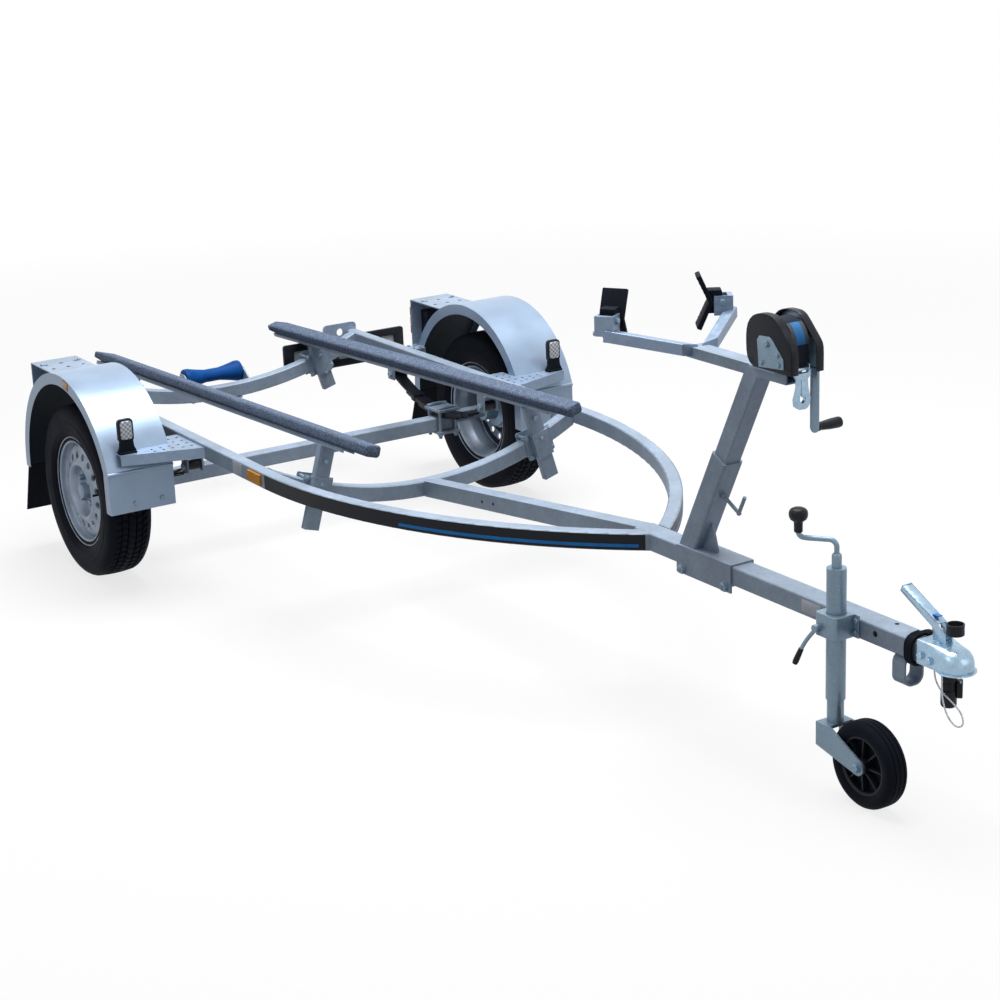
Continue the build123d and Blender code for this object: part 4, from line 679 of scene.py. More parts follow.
    def done(self, body, replaces=(), slot=None, sharp=32.0):
        """Makes the object, in metres, riding on a body."""
        bmesh.ops.scale(self.mesh, vec=(0.001,) * 3, verts=self.mesh.verts)
        mesh = bpy.data.meshes.new(self.name)
        self.mesh.to_mesh(mesh)
        self.mesh.free()
        mesh.set_sharp_from_angle(angle=radians(sharp))
        for finish in self.finishes:
            mesh.materials.append(Finish.made[finish])
        made = bpy.data.objects.new(self.name, mesh)
        bpy.context.scene.collection.objects.link(made)
        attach(made, body)
        if replaces:
            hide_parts(*replaces)
        return made


def arc(centre, radius, start, end, steps):
    """Points on an arc, by degrees."""
    turns = [radians(start + (end - start) * step / steps) for step in range(steps + 1)]
    return [(centre[0] + radius * cos(turn), centre[1] + radius * sin(turn)) for turn in turns]


def rounded(width, height, corner, steps=5):
    """A rounded rectangle about the middle."""
    x, y = width / 2 - corner, height / 2 - corner
    points = []
    for centre, start in (((x, y), 0), ((-x, y), 90), ((-x, -y), 180), ((x, -y), 270)):
        points += arc(centre, corner, start, start + 90, steps)
    return points


def mirrored(half):
    """A profile and its mirror image, from one half."""
    return half + [(-along, reach) for along, reach in reversed(half)]


def polar(count, start=0.0):
    """Cosines and sines of directions spread evenly round a circle."""
    turns = [start + 2 * pi * index / count for index in range(count)]
    return [(cos(turn), sin(turn)) for turn in turns]


# ------------------------------------------------------------------ cords
CABLE = 8.0
TETHER_WIRE = 4.0
# both routes: ahead of the axle, left, over the rail's top
LEAD = ((3084, 4, -58.5), (3099, 4, -58.5), (3114, 12, -61.5))
TETHER = (
    (3138, -29, -48), (3138, -29, -70), (3160, -29, -96), (3196, -29, -110), (3228, -29, -128),
    (3238, -31, -154), (3216, -34, -166), (3188, -37, -144), (3172, -37, -104), (3168, -34, -76),
    (3168, -34, -48),
)


def cord(name, route, diameter, finish, node):
    """A NURBS cord through the route's points."""
    places = [Vector((ahead(x), y, over(z))) / 1000 for x, y, z in route]
    curve = bpy.data.curves.new(name, "CURVE")
    curve.dimensions = "3D"
    curve.bevel_depth = diameter / 2000
    curve.bevel_resolution = 4
    curve.resolution_u = 8
    curve.use_fill_caps = True
    spline = curve.splines.new("NURBS")
    spline.points.add(len(places) - 1)
    for point, place in zip(spline.points, places):
        point.co = (*place, 1)
    spline.order_u = 3
    spline.use_endpoint_u = True
    curve.materials.append(Finish.made[finish])
    made = bpy.data.objects.new(name, curve)
    bpy.context.scene.collection.objects.link(made)
    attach(made, "chassis")
    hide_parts(node)
    return made, tuple(places[0])


def make_coil():
    """Four turns round the drawbar, uneven as a hand winds them."""
    low, high = corners("cable_coil")
    centre = (low + high) / 2
    piece = Piece("cable_turns", "black_rubber")
    half, turns, steps, power = CABLE / 2, 4, 40, 2 / 3.2
    points = []
    for step in range(turns * steps + 1):
        share = step / steps
        angle = 2 * pi * share + pi / 2
        wander = 1.0 + 0.45 * sin(share * 7.3)
        x = low.x + half + 0.5 + (high.x - low.x - CABLE - 1) * share / turns
        y, z = (
            place + (span / 2 - half - 1 - wander) * copysign(abs(turn) ** power, turn)
            for place, span, turn in (
                (centre.y, high.y - low.y, cos(angle)), (centre.z, high.z - low.z, sin(angle)),
            )
        )
        points.append((x, y, z))
    piece.tube(points, half, 12)
    piece.done("chassis", ["cable_coil"], "black_rubber")


def make_plug():
    """A plug that hangs from the lead's boot, with a ribbed collar and a spring lid."""
    low, high = corners("plug")
    before, lead_end = (Vector((ahead(x), y, over(z))) for x, y, z in LEAD[-2:])
    axis = lead_end + (lead_end - before).normalized() * 22
    piece = Piece("plug_body", "black_plastic", (axis.x, axis.y, high.z))
    radius = 18.8
    tall = high.z - low.z
    profile = [
        # down from the top, radius
        (0, 0), (0, 15), (2, 17.5), (24, 17.5), (26, radius - 0.5), (38, radius - 0.5), (40, 16.5), (58, 16.5),
        (60, radius), (tall - 6, radius), (tall - 3, radius - 1), (tall, radius - 3), (tall, 13),
        (tall - 8, 12), (tall - 8, 0),
    ]
    piece.lathe(profile, HERE, -UP, 40)
    for across, along in polar(12):
        x, y = 16.8 * across, 16.8 * along
        piece.rod((x, y, -40), (x, y, -58), 1.6, 8, 0.5)
    boot = [(0, 0), (0, 5.5), (7, 6.2), (13, 7.6), (24, 8.0), (24, 0)]
    piece.lathe(boot, lead_end - piece.origin, axis - lead_end, 20)
    out, flat = Vector((1, 1, 0)).normalized(), Vector((-1, 1, 0)).normalized()
    face = out * 17.5 + UP * (44 - tall)
    piece.prism(rounded(25, 43, 7), face, flat, out, 14, 2.4, 3)
    hinge = face + out * 9 + UP * 19
    piece.rod(hinge - flat * 12.5, hinge + flat * 12.5, 2.4, 12, finish="zinc_plate")
    piece.done("chassis", ["plug"], "black_plastic")


class TRAILER_OT_cables(bpy.types.Operator):
    """Makes the wound cable, its lead and plug, and the steel safety cable"""

    bl_idname = "trailer.cables"
    bl_label = "Cables"

    def execute(self, context):
        make_coil()
        make_plug()
        cord("cable_lead_line", LEAD, CABLE, "black_rubber", "cable_lead")
        made, leaves = cord("safety_cable_line", TETHER, TETHER_WIRE, "steel_rope", "safety_cable")
        return {"FINISHED"}


# ------------------------------------------------------------------ road wheels
TREAD_HALF = 52.0           # from the middle to the tread's edge
CROWN_DROP = 3.2            # how much lower the tread's edge is than its middle
TREAD_BLOCKS = ((-52, -38), (-33, -16), (-11, 11), (16, 33), (38, 52))
GROOVE_LEAN = 0.8
BLOCK_STEPS = 4
VENTS, VENT, VENT_CIRCLE, VENT_STEPS = 16, 11.5, 119.0, 14      # how many, their radius, their circle's
DISC_STEEL = 5.0
STUD_CIRCLE = 50.0
VALVE = (150, 36, 22)       # ahead of the wheel's middle, outboard, above


def make_tyre(name, side, sizes):
    """The sidewalls' profile turned about the axle, with wavy tread blocks between grooves."""
    low, high = corners(f"tyre_{name}")
    radius = (high.z - low.z) / 2
    half = (high.y - low.y) / 2
    centre = (low + high) / 2
    depth = sizes.tread_depth * 1000
    wall = [
        # across from the middle, radius
        (-57, 165), (-60, 168), (-61, 176), (-62, 184), (-66, 187), (-69, 190), (-73, 203), (-75, 206),
        (-75, 209), (-77.2, 222), (-77.5, 234), (-76.2, 236), (-76.2, 239), (-76.5, 250), (-74, 262),
        (-71, 270), (-66, 276),
    ]
    piece = Piece(f"tyre_rubber_{name}", "tyre_rubber")
    shell = wall + [(-62, 278.5), (-58, 281.5), (-52, 283.8)]
    ground = radius - depth - 1.0
    across = []
    for start, end in TREAD_BLOCKS:
        if across:
            across += [(across[-1][0] + GROOVE_LEAN, ground, False), (start - GROOVE_LEAN, ground, False)]
        across += [(place, radius - CROWN_DROP * (place / TREAD_HALF) ** 2, True)
                   for place in (start, (start + end) / 2, end)]
    steps = sizes.tread_blocks * BLOCK_STEPS
    work = bmesh.new()
    limit = half - 0.05
    rings = []
    for step in range(steps):
        turn = 2 * pi * step / steps
        ring = [(place, rise, turn) for place, rise in shell]
        for place, rise, block in across:
            wave = 0.35 * sin(place / 14) + 0.25 * abs(place) / TREAD_HALF
            cut = step % BLOCK_STEPS == 0 and block and abs(place) > 5
            shift = wave * 2 * pi / sizes.tread_blocks
            ring.append((place, rise - (depth * 0.8 if cut else 0.0), turn + shift))
        ring += [(-place, rise, turn) for place, rise in reversed(shell)]
        rings.append([work.verts.new((
            centre.x + reach * cos(angle), centre.y + side * max(-limit, min(limit, place)),
            centre.z + reach * sin(angle),
        )) for place, reach, angle in ring])
    stitch(work, rings, wrap=True)
    piece.take(work)
    piece.done(f"wheel_{name}", [f"tyre_{name}"], "tyre", sharp=28)


class TRAILER_OT_tyres(bpy.types.Operator):
    """Makes the treaded road tyres"""

    bl_idname = "trailer.tyres"
    bl_label = "Tyres"

    def execute(self, context):
        sizes = context.scene.trailer_sizes
        for name, side in SIDES:
            make_tyre(name, side, sizes)
        return {"FINISHED"}


def make_rim(name, centre, outward):
    """The rim's barrel, its vented disc, and the valve."""
    piece = Piece(f"rim_pressing_{name}", "rim_paint")
    barrel = [
        # outboard of the middle, radius
        (63, 180.5), (62.5, 182), (60, 182), (58, 180), (57, 176), (57, 168), (55, 165.5), (44, 165),
        (38, 163), (30, 156), (22, 152), (-6, 152), (-16, 156), (-30, 163), (-44, 165), (-55, 165.5),
        (-57, 168), (-57, 176), (-58, 180), (-60, 182), (-62.5, 182), (-63, 180.5), (-61, 178.5),
        (-60, 176), (-60, 166), (-57, 162.5), (-44, 161.5), (-31, 159.5), (-17, 152.5), (-7, 148.5),
        (23, 148.5), (32, 152.5), (40, 159.5), (46, 161.5), (57, 162.5), (60, 166), (60, 176), (61, 178.5),
    ]
    piece.lathe(barrel, centre, outward, 96, closed=True)
    make_disc(piece, centre, outward)
    stem = centre + outward * VALVE[1] + Vector((VALVE[0], 0, VALVE[2]))
    piece.rod(stem, stem + outward * 30 + Vector((-6, 0, -1)), 3.6, 12, finish="black_rubber")
    cap = stem + outward * 28 + Vector((-5.6, 0, -1))
    piece.rod(cap, cap + outward * 9 + Vector((-2, 0, 0)), 4.4, 12, finish="black_plastic")
    piece.done(f"wheel_{name}", [f"rim_{name}"], "rim")


def make_disc(piece, centre, outward):
    """The dished disc, with round vents whose edges are turned in, and dark linings of painted shade behind it."""
    profile = [
        # radius, outboard of the middle
        (156, 35), (153.5, 39), (149, 42.5), (143, 44.5), (136, 45.5), (130, 47), (125, 48), (119, 49.2),
        (112, 50.5), (106, 52.5), (101, 55), (97, 57), (92, 58), (88, 57), (85, 54), (82, 48), (79, 40),
        (76.5, 33), (74, 28.5), (70, 26.5), (64, 26), (40, 26), (31, 26),
    ]
    steps = VENTS * VENT_STEPS
    radii = [
        156, 154.5, 151.5, 148, 143, 138, 134.5, 131.8, 129, 126.5, 124, 121.5, 119, 116.5, 114, 111.5,
        109, 106.5, 103, 100, 97, 94.5, 92, 90, 88, 86, 84, 82, 80, 78, 76.5, 74, 70, 57, 40, 31,
    ]
    first, second = square_to(outward)

    def height(radius):
        for (far, low), (near, high) in zip(profile, profile[1:]):
            if near <= radius <= far:
                return low + (high - low) * (far - radius) / (far - near)
        return profile[-1][1]

    def from_vent(radius, step):
        """Distance round and out from the nearest vent's middle."""
        off = (step / VENT_STEPS) % 1.0 - 0.5
        return off * 2 * pi / VENTS * radius, radius - VENT_CIRCLE

    open_cells = set()
    for ring in range(len(radii) - 1):
        middle_radius = (radii[ring] + radii[ring + 1]) / 2
        for step in range(steps):
            if hypot(*from_vent(middle_radius, step + 0.5)) < VENT:
                open_cells.add((ring, step))
    work = bmesh.new()
    skins = []
    for offset, drop in ((0.0, -1.2), (-DISC_STEEL, -4.0)):
        rows = []
        for ring, radius in enumerate(radii):
            row = []
            for step in range(steps):
                touching = [(ring + a, (step + b) % steps) in open_cells for a in (-1, 0) for b in (-1, 0)]
                turn, reach, turned_in = 2 * pi * step / steps, radius, 0.0
                if any(touching) and not all(touching):
                    round_by, out_by = from_vent(radius, step)
                    scale = VENT / max(hypot(round_by, out_by), 0.1)
                    turn += round_by * (scale - 1) / radius
                    reach = VENT_CIRCLE + out_by * scale
                    turned_in = drop
                outward_by = height(reach) + offset + turned_in
                arm = first * cos(turn) + second * sin(turn)
                row.append(work.verts.new(centre + arm * reach + outward * outward_by))
            rows.append(row)
        skins.append(rows)
    for ring in range(len(radii) - 1):
        for step in range(steps):
            if (ring, step) not in open_cells:
                after = (step + 1) % steps
                for near, far in ((rows[ring], rows[ring + 1]) for rows in skins):
                    work.faces.new((near[step], near[after], far[after], far[step]))
    face, back = skins
    partner = {vert: other for pair in zip(face, back) for vert, other in zip(*pair)}
    borders = [edge for edge in work.edges if edge.is_boundary and all(vert in partner for vert in edge.verts)]
    for edge in borders:
        start, end = edge.verts
        work.faces.new((start, end, partner[end], partner[start]))
    loose = [vert for vert in work.verts if not vert.link_faces]
    bmesh.ops.delete(work, geom=loose, context="VERTS")
    piece.take(work)
    # Painted shade: dark linings just behind the disc's back, away from the vents, so that the vents look into
    # shade.
    for reaches in ((150, 143, 136, 131.5), (106.5, 101, 92, 85, 82, 79, 76.5, 74)):
        shade_lining = [(height(radius) - DISC_STEEL - 0.4, radius) for radius in reaches]
        piece.lathe(shade_lining, centre, outward, 96, finish="rim_inside")


def make_hub(name, centre, outward):
    """The hub's flange and cap, with its four wheel nuts."""
    piece = Piece(f"hub_casting_{name}")
    barrel = [(-45, 15.2), (-45, 30), (-43, 34), (-38, 36), (-20, 36), (6, 38), (9, 44), (9, 64), (11, 66)]
    barrel += [(21, 66), (21, 40), (21, 15.2)]
    piece.lathe(barrel, centre, outward, 64)
    cap = [(20, 28.5), (30, 28.5), (31, 27.2), (33, 26.2), (52, 25.4), (56, 24.0), (58.5, 20.5), (59.6, 15)]
    cap += [(60, 8), (60.2, 0)]
    piece.lathe(cap, centre, outward, 48)
    for across, up in polar(4, pi / 4):
        spot = centre + (FORWARD * across + UP * up) * STUD_CIRCLE
        piece.lathe([(26, 0), (26, 10), (30, 9), (31, 0)], spot, outward, 24)
        piece.lathe([(28, 0), (28, 9.6), (42, 9.6), (44.5, 8.4), (46.5, 5.0), (47, 0)], spot, outward, 6)
    piece.done(f"wheel_{name}", [f"hub_{name}"], "zinc")


class TRAILER_OT_rims(bpy.types.Operator):
    """Makes the pressed rims with vent holes, and the hubs"""

    bl_idname = "trailer.rims"
    bl_label = "Rims and hubs"

    def execute(self, context):
        for name, side in SIDES:
            centre = middle(f"tyre_{name}")
            outward = LEFT * side
            make_rim(name, centre, outward)
            make_hub(name, centre, outward)
        return {"FINISHED"}


# ------------------------------------------------------------------ winch
HOOD = (
    # ahead of the drum, above it: the cover's outline, clockwise from its lower rear
    (-54, -66), (-68, -58), (-77, -46), (-81, -30), (-82, -10), (-82, 8), (-80, 24), (-75.5, 38), (-67, 50.5),
    (-55.5, 60), (-42, 66), (-26, 69.2), (-10, 70), (6, 69.6), (17, 67), (28, 61), (42, 48), (60, 29.5),
    (77, 12), (84, 3), (87.2, -8), (88, -22), (88, -66),
)
SIDE_PLATE = ((-38, 4), (-30, 15), (6, 18), (16, 14), (60, -30), (61, -54), (-32, -62))
WINCH_HALF = 50.0       # from the middle to the covers' outer faces
COVER = 2.5             # the covers' and side plates' thickness
HOOD_RIM = 22.0         # how far the covers' edges turn in
GEARS = (31.0, 41.0)    # the gears' faces, out from the middle
SPOOL_HALF = 24.6       # half the wound strap's width
STRAP_REACH = 61.5      # from the drum's middle to the strap's outermost turn


def make_housing(drum, crank):
    """Two covers with turned-in edges, side plates, cheeks inside them, and a foot."""
    piece = Piece("winch_housing", origin=drum)
    foot = corners("winch_frame")[0].z - drum.z
    for side in (-1, 1):
        make_hood_rim(piece, side)
        for outline, size, out, thick, bevel, finish in (
            (HOOD, 1.0, 0.0, COVER, 0.8, "black_paint"), (SIDE_PLATE, 1.0, COVER, COVER, 0.8, None),
            (HOOD, 0.93, -3.2, 3.0, 0.6, None),
        ):
            turned = [(x * side * size, -z * size) for x, z in outline]
            face = LEFT * (side * (WINCH_HALF - COVER + out))
            piece.prism(turned, face, FORWARD * side, LEFT * side, thick, bevel, finish=finish)
        for x, z, size in ((0, 0, 9), (44, -46, 6), (-20, -50, 6)) + ((40, -22, 6),) * (side < 0):
            piece.bolt((x, side * (WINCH_HALF + COVER), z), LEFT * side, size)
    piece.box((-80, -44, foot), (16, 44, foot + 5), 0.8)
    for x in (-60, -4):
        piece.bolt((x, 0, foot + 5), UP, 8, 4)
    for x, z, half, radius in ((0, 0, 46, 8), (-62, -30, 44, 5)):
        piece.rod((x, -half, z), (x, half, z), radius)
    collar = [(0, 8.1), (0, 12), (8, 12), (9, 11), (9, 8.1)]
    piece.lathe(collar, crank - drum + LEFT * WINCH_HALF, LEFT, 24, closed=True)
    piece.done("winch_post", ["winch_frame"], "zinc")


def make_hood_rim(piece, side):
    """The cover's turned-in edge, open towards the foot."""
    work = bmesh.new()
    inner, outer = side * (WINCH_HALF - HOOD_RIM), side * WINCH_HALF
    rows = []
    for x, z in HOOD:
        shrink = 1 - 2.6 / hypot(x, z)
        section = ((1, outer), (1, inner), (shrink, inner), (shrink, outer))
        rows.append([work.verts.new((x * size, y, z * size)) for size, y in section])
    stitch(work, rows, caps=True)
    piece.take(work, 0.7, finish="black_paint")


def make_gear(piece, teeth, tip, root):
    """A toothed wheel round the piece's origin."""
    outline = []
    for tooth in range(teeth):
        for share, radius in ((0.0, root), (0.22, root), (0.38, tip), (0.62, tip), (0.78, root)):
            turn = 2 * pi * (tooth + share) / teeth
            outline.append((radius * cos(turn), radius * sin(turn)))
    piece.prism(outline, LEFT * GEARS[0], FORWARD, LEFT, GEARS[1] - GEARS[0], 0.0)


def make_drum(drum):
    """The drum with nine layers of strap wound on it, its gear and its flange."""
    piece = Piece("winch_drum_wound", origin=drum)
    barrel = mirrored([(-42.4, 8.2), (-42.4, 22), (-SPOOL_HALF - 2, 22)])
    piece.lathe(barrel, HERE, LEFT, 40, closed=True)
    wound = []
    for layer in range(9):
        edge, radius = (layer % 2) * 0.6 - SPOOL_HALF, 24 + layer * 3.9
        wound += [(edge, radius), (edge, radius + 3.3)]
    piece.lathe(mirrored(wound + [(1.2 - SPOOL_HALF, 59.4)]), HERE, LEFT, 72, finish="strap_wound")
    make_gear(piece, 50, 51.0, 47.8)
    flange = [(-2, 22), (-2, 45), (0, 46), (1, 46), (1, 22)]
    piece.lathe(flange, LEFT * -30, LEFT, 48, closed=True)
    for across, up in polar(4, pi / 4):
        piece.bolt((34 * across, GEARS[1], 34 * up), -LEFT, 5, washer=False)
    piece.done("winch_drum", ["winch_drum"], "zinc")


def make_strap(drum):
    """The strap's free end: off the drum, down to its sewn loop, and the hook in that."""
    piece = Piece("winch_strap_hook", "bright_zinc")
    foot, front = corners("winch_strap")[0].z, drum.x + STRAP_REACH
    lowest = foot + 98
    path = arc((drum.x, drum.z), STRAP_REACH, 60, 0, 12)
    path += [(front, drum.z - (drum.z - lowest) * step / 6) for step in range(1, 7)]
    make_ribbon(piece, path, 24.4, 2.6, "strap_wound")
    blue = [(x + 1.3, z + 0.1) for x, z in path if drum.z - 8 < z < drum.z + 56]
    make_ribbon(piece, blue, 24.6, 0.9, "strap_webbing")
    turns = [pi * (0.5 + step / 8) for step in range(9)]
    loop = [(front + 4.2 * sin(turn), lowest + 9 + 7 * cos(turn)) for turn in turns]
    make_ribbon(piece, loop, 19.0, 2.4, "strap_wound")
    make_hook(piece, front + 4, foot)
    piece.done("winch_post", ["winch_strap"], "webbing")


def make_ribbon(piece, path, half, thickness, finish):
    """A flat web through points in the plane of the trailer's middle."""
    work = bmesh.new()
    wide = LEFT * half
    rows = []
    for index, (x, z) in enumerate(path):
        before, after = path[max(index - 1, 0)], path[min(index + 1, len(path) - 1)]
        way = Vector((after[0] - before[0], 0, after[1] - before[1])).normalized()
        out = Vector((-way.z, 0, way.x)) * (thickness / 2)
        edges = (out - wide, out + wide, wide - out, -out - wide)
        rows.append([work.verts.new(Vector((x, 0, z)) + edge) for edge in edges])
    stitch(work, rows, caps=True)
    piece.take(work, 0.5, 1, finish=finish)


def make_hook(piece, x, foot):
    """A forged snap hook: forked eye, waisted shank, hooked tongue and its spring latch."""
    outline = [
        # left, up from the hook's lowest point
        (-10, 1), (10, 0), (18, 5), (23, 14), (24, 26), (21, 40), (17, 56), (16, 74), (24, 84), (24, 110),
        (18, 110), (18, 90), (-18, 90), (-18, 110), (-24, 110), (-24, 84), (-16, 74), (-15, 58), (-19, 42),
        (-24, 26), (-22, 10),
    ]
    depth = 12.0
    hole = [(9.5 * across, 28 + 13 * up) for up, across in polar(6)]
    piece.prism(outline, (x - depth / 2, 0, foot), LEFT, FORWARD, depth, 1.6, 2, [hole])
    for half, up, radius in ((18, 99, 4), (15, 70, 3)):
        piece.rod((x, -half, foot + up), (x, half, foot + up), radius)
    piece.box((x + depth / 2 - 1, -6, foot + 32), (x + depth / 2 + 2.5, 6, foot + 74), 1.2)


def make_winch_crank(crank):
    """The crank's shaft with its pinion and nut, the flat arm and the grip."""
    piece = Piece("winch_crank_handle", origin=crank)
    low, high = (corner - crank for corner in corners("winch_crank"))
    grip_z, face = low.z + 14, 74
    arm = arc((0, 0), 13.5, 0, 180, 10) + arc((0, grip_z), 13.5, 180, 360, 10)
    piece.prism([(-x, z) for x, z in arm], LEFT * (face - 8), -FORWARD, LEFT, 8, 1.4)
    piece.rod(LEFT * GEARS[0], LEFT * 80, 7.9)
    make_gear(piece, 14, 14.1, 11.2)
    piece.lathe([(0, 0), (0, 11), (7, 11), (8.5, 9), (8.5, 0)], LEFT * face, LEFT, 6)
    long = high.y - face
    grip = [
        (0, 0), (0, 9.5), (3, 11.5), (9, 11.5), (11, 10.4), (24, 11.4), (44, 13.2), (long - 10, 14),
        (long - 4, 13), (long - 1, 9), (long, 3), (long, 0),
    ]
    piece.lathe(grip, (0, face, grip_z), LEFT, 32, finish="black_plastic")
    piece.done("winch_crank", ["winch_crank"], "zinc")


class TRAILER_OT_winch(bpy.types.Operator):
    """Makes the hand winch with its covers, gears, wound strap, hook and crank"""

    bl_idname = "trailer.winch"
    bl_label = "Winch"

    def execute(self, context):
        drum, crank = joint_place("winch_drum_spin"), joint_place("winch_crank_spin")
        crank.y = drum.y
        make_housing(drum, crank)
        make_drum(drum)
        make_strap(drum)
        make_winch_crank(crank)
        return {"FINISHED"}


# ------------------------------------------------------------------ bunks
BUNK = {"side": 352, "rise": 58, "pitch": 2.33, "tilt": 16.5, "rear": -912, "front": 1150, "taper": 95}
BUNK_WIDE, BUNK_TALL = 54.0, 38.0
CHANNEL = 12.0
BUNK_STACK = BUNK_TALL + CHANNEL
POSTS = ((840, 136), (-620, 115))   # ahead of the axle, how far their crossbeam sags below the rails
POST_LEAD = 32          # the posts' tops, ahead of their crossbeam
BEAM_HALF = 25
BOLT_GRID = (24.2, 40.3, 34)        # bolt heads from where post and crossbeam meet: ahead, across, up


def bunk_frame(side, distance):
    """The bunk's cross-section this far ahead of the axle: its origin, across and up."""
    tilt, slope = radians(BUNK["tilt"]), radians(BUNK["pitch"])
    origin = Vector((
        ahead(distance),
        side * (BUNK["side"] + BUNK_STACK * sin(tilt)),
        over(BUNK["rise"] + tan(slope) * distance) - BUNK_STACK * cos(tilt),
    ))
    across = Vector((0, cos(tilt), side * sin(tilt)))
    forward = Vector((cos(slope), 0, sin(slope)))
    return origin, across, forward.cross(across)


def post_cross(side, place, drop):
    """Where a bunk post crosses its crossbeam, and the way it leans, as in the frame."""
    tilt = radians(BUNK["tilt"])
    half = RAIL_HALF - 40
    top = bunk_frame(side, place + POST_LEAD)[0]
    radius = (half**2 + drop**2) / (2 * drop) + BEAM_HALF
    centre = over(-drop) + radius - BEAM_HALF
    sideways, climb = side * top.y, top.z - centre
    half_b = sideways * sin(tilt) - climb * cos(tilt)
    down = -half_b + sqrt(half_b**2 - (sideways**2 + climb**2 - radius**2))
    lean = Vector((0, side * sin(tilt), -cos(tilt)))
    return top + lean * down, lean


def make_bunk(name, side):
    """Carpet pulled round a board: soft corners, slight waves, a folded end."""
    chance = random.Random(side + 5)
    piece = Piece(f"bunk_carpet_{name}", "bunk_carpet")
    run = BUNK["front"] - BUNK["rear"]
    places = [0, 2, 6, 12, 24, 40, 60, 80, BUNK["taper"]]
    places += [BUNK["taper"] + (run - BUNK["taper"] - 6) * step / 90 for step in range(1, 91)]
    places += [run - 3, run - 1, run]
    work = bmesh.new()
    rings = []
    for distance in places:
        origin, across, upward = bunk_frame(side, BUNK["rear"] + distance)
        share = min(1.0, distance / BUNK["taper"])
        edge = min(distance, run - distance)
        ease = 1.0 if edge > 6 else 0.80 + 0.20 * sqrt(max(edge, 0) / 6)
        wide = (BUNK_WIDE * (0.8 + 0.2 * share) - 0.6) * ease
        tall = (BUNK_TALL * (0.6 + 0.4 * share) - 0.6) * ease
        wave = 0.35 * sin(distance / 47) + 0.2 * chance.uniform(-1, 1)
        centre = origin + upward * (CHANNEL + BUNK_TALL / 2)
        section = rounded(wide - 0.6 + wave * 0.5, tall - 0.4, min(wide, tall) * 0.29, 5)
        rings.append([work.verts.new(centre + across * x + upward * y) for x, y in section])
    stitch(work, rings, caps=True)
    piece.take(work)
    for end in (14, run - 14):
        origin, across, upward = bunk_frame(side, BUNK["rear"] + end)
        for x in (-12, 0, 12):
            spot = origin + across * x + upward * (CHANNEL + (8 if end == 14 else 0.4))
            piece.rod(spot, spot - upward * 0.5, 2.2, 8, 0.2, finish="zinc_plate")
    piece.done("chassis", [f"bunk_{name}"], "carpet", sharp=60)


def make_posts():
    """The bolts where the bunk posts meet their crossbeams and their brackets."""
    piece = Piece("bunk_post_bolts")
    tilt = radians(BUNK["tilt"])
    out_x, out_y, out_z = BOLT_GRID
    for place, drop in POSTS:
        for _, side in SIDES:
            cross, lean = post_cross(side, place, drop)
            across = Vector((0, cos(tilt), side * sin(tilt)))
            for edge in (-1, 1):
                for rise in (-1, 1):
                    spot = cross + across * (edge * out_y) - lean * (rise * out_z)
                    for way in (1, -1):
                        piece.bolt((ahead(place) + way * out_x, spot.y, spot.z), FORWARD * way, 9)
            origin, _, upward = bunk_frame(side, place + POST_LEAD)
            for rise, size in ((46, 8), (118, 6)):
                piece.bolt(origin - upward * rise + FORWARD * 12, FORWARD, size)
    piece.done("chassis", slot="zinc")


class TRAILER_OT_bunks(bpy.types.Operator):
    """Makes the carpeted bunks and the bolts of their posts"""

    bl_idname = "trailer.bunks"
    bl_label = "Bunks"

    def execute(self, context):
        for name, side in SIDES:
            make_bunk(name, side)
        make_posts()
        return {"FINISHED"}


# ------------------------------------------------------------------ bow stop
PAD_MIDDLE = (2114, 205)        # ahead of the axle, out from the middle
PAD_YAW, PAD_WIDE = 57.0, 68.0
WINGS = ((50, 0), (82, 73), (94, 68), (62, 0), (94, -68), (82, -73))


class TRAILER_OT_bow(bpy.types.Operator):
    """Makes the ribbed rubber pads of the bow stop and their bolts"""

    bl_idname = "trailer.bow"
    bl_label = "Bow stop"

    def execute(self, context):
        low, high = corners("bow_pads")
        pads = Piece("bow_rubber", "black_rubber")
        bolts = Piece("bow_bolts")
        turn = radians(PAD_YAW)
        for _, side in SIDES:
            centre = Vector((ahead(PAD_MIDDLE[0]), side * PAD_MIDDLE[1], (low.z + high.z) / 2))
            out = Vector((-cos(turn), -side * sin(turn), 0))
            normal = Vector((out.y, -out.x, 0))
            pads.prism(WINGS, centre - normal * (PAD_WIDE / 2), out, normal, PAD_WIDE, 2.4, 3)
            shoe = [(x + 45, y) for x, y in rounded(38, 61, 4, 3)]
            pads.prism(shoe, centre - normal * 20.5, out, normal, 41, 1.5)
            for along in (-25.5, -8.5, 8.5, 25.5):
                for up in (-1, 1):
                    for step in range(5):
                        reach = 12 + step * 12.5
                        spot = centre + out * (62 + reach * 0.47) + UP * (up * reach) + normal * along
                        pads.rod(spot - normal * 6, spot + normal * 6, 1.1, 8, 0.4)
            for reach, drop, size in ((26, 0, 9), (6, 30, 7)):
                for edge in (-1, 1):
                    spot = centre + out * reach - UP * drop + normal * (edge * 25.2)
                    bolts.bolt(spot, normal * edge, size)
        pads.done("winch_post", ["bow_pads"], "black_rubber")
        bolts.done("winch_post", slot="zinc")
        return {"FINISHED"}


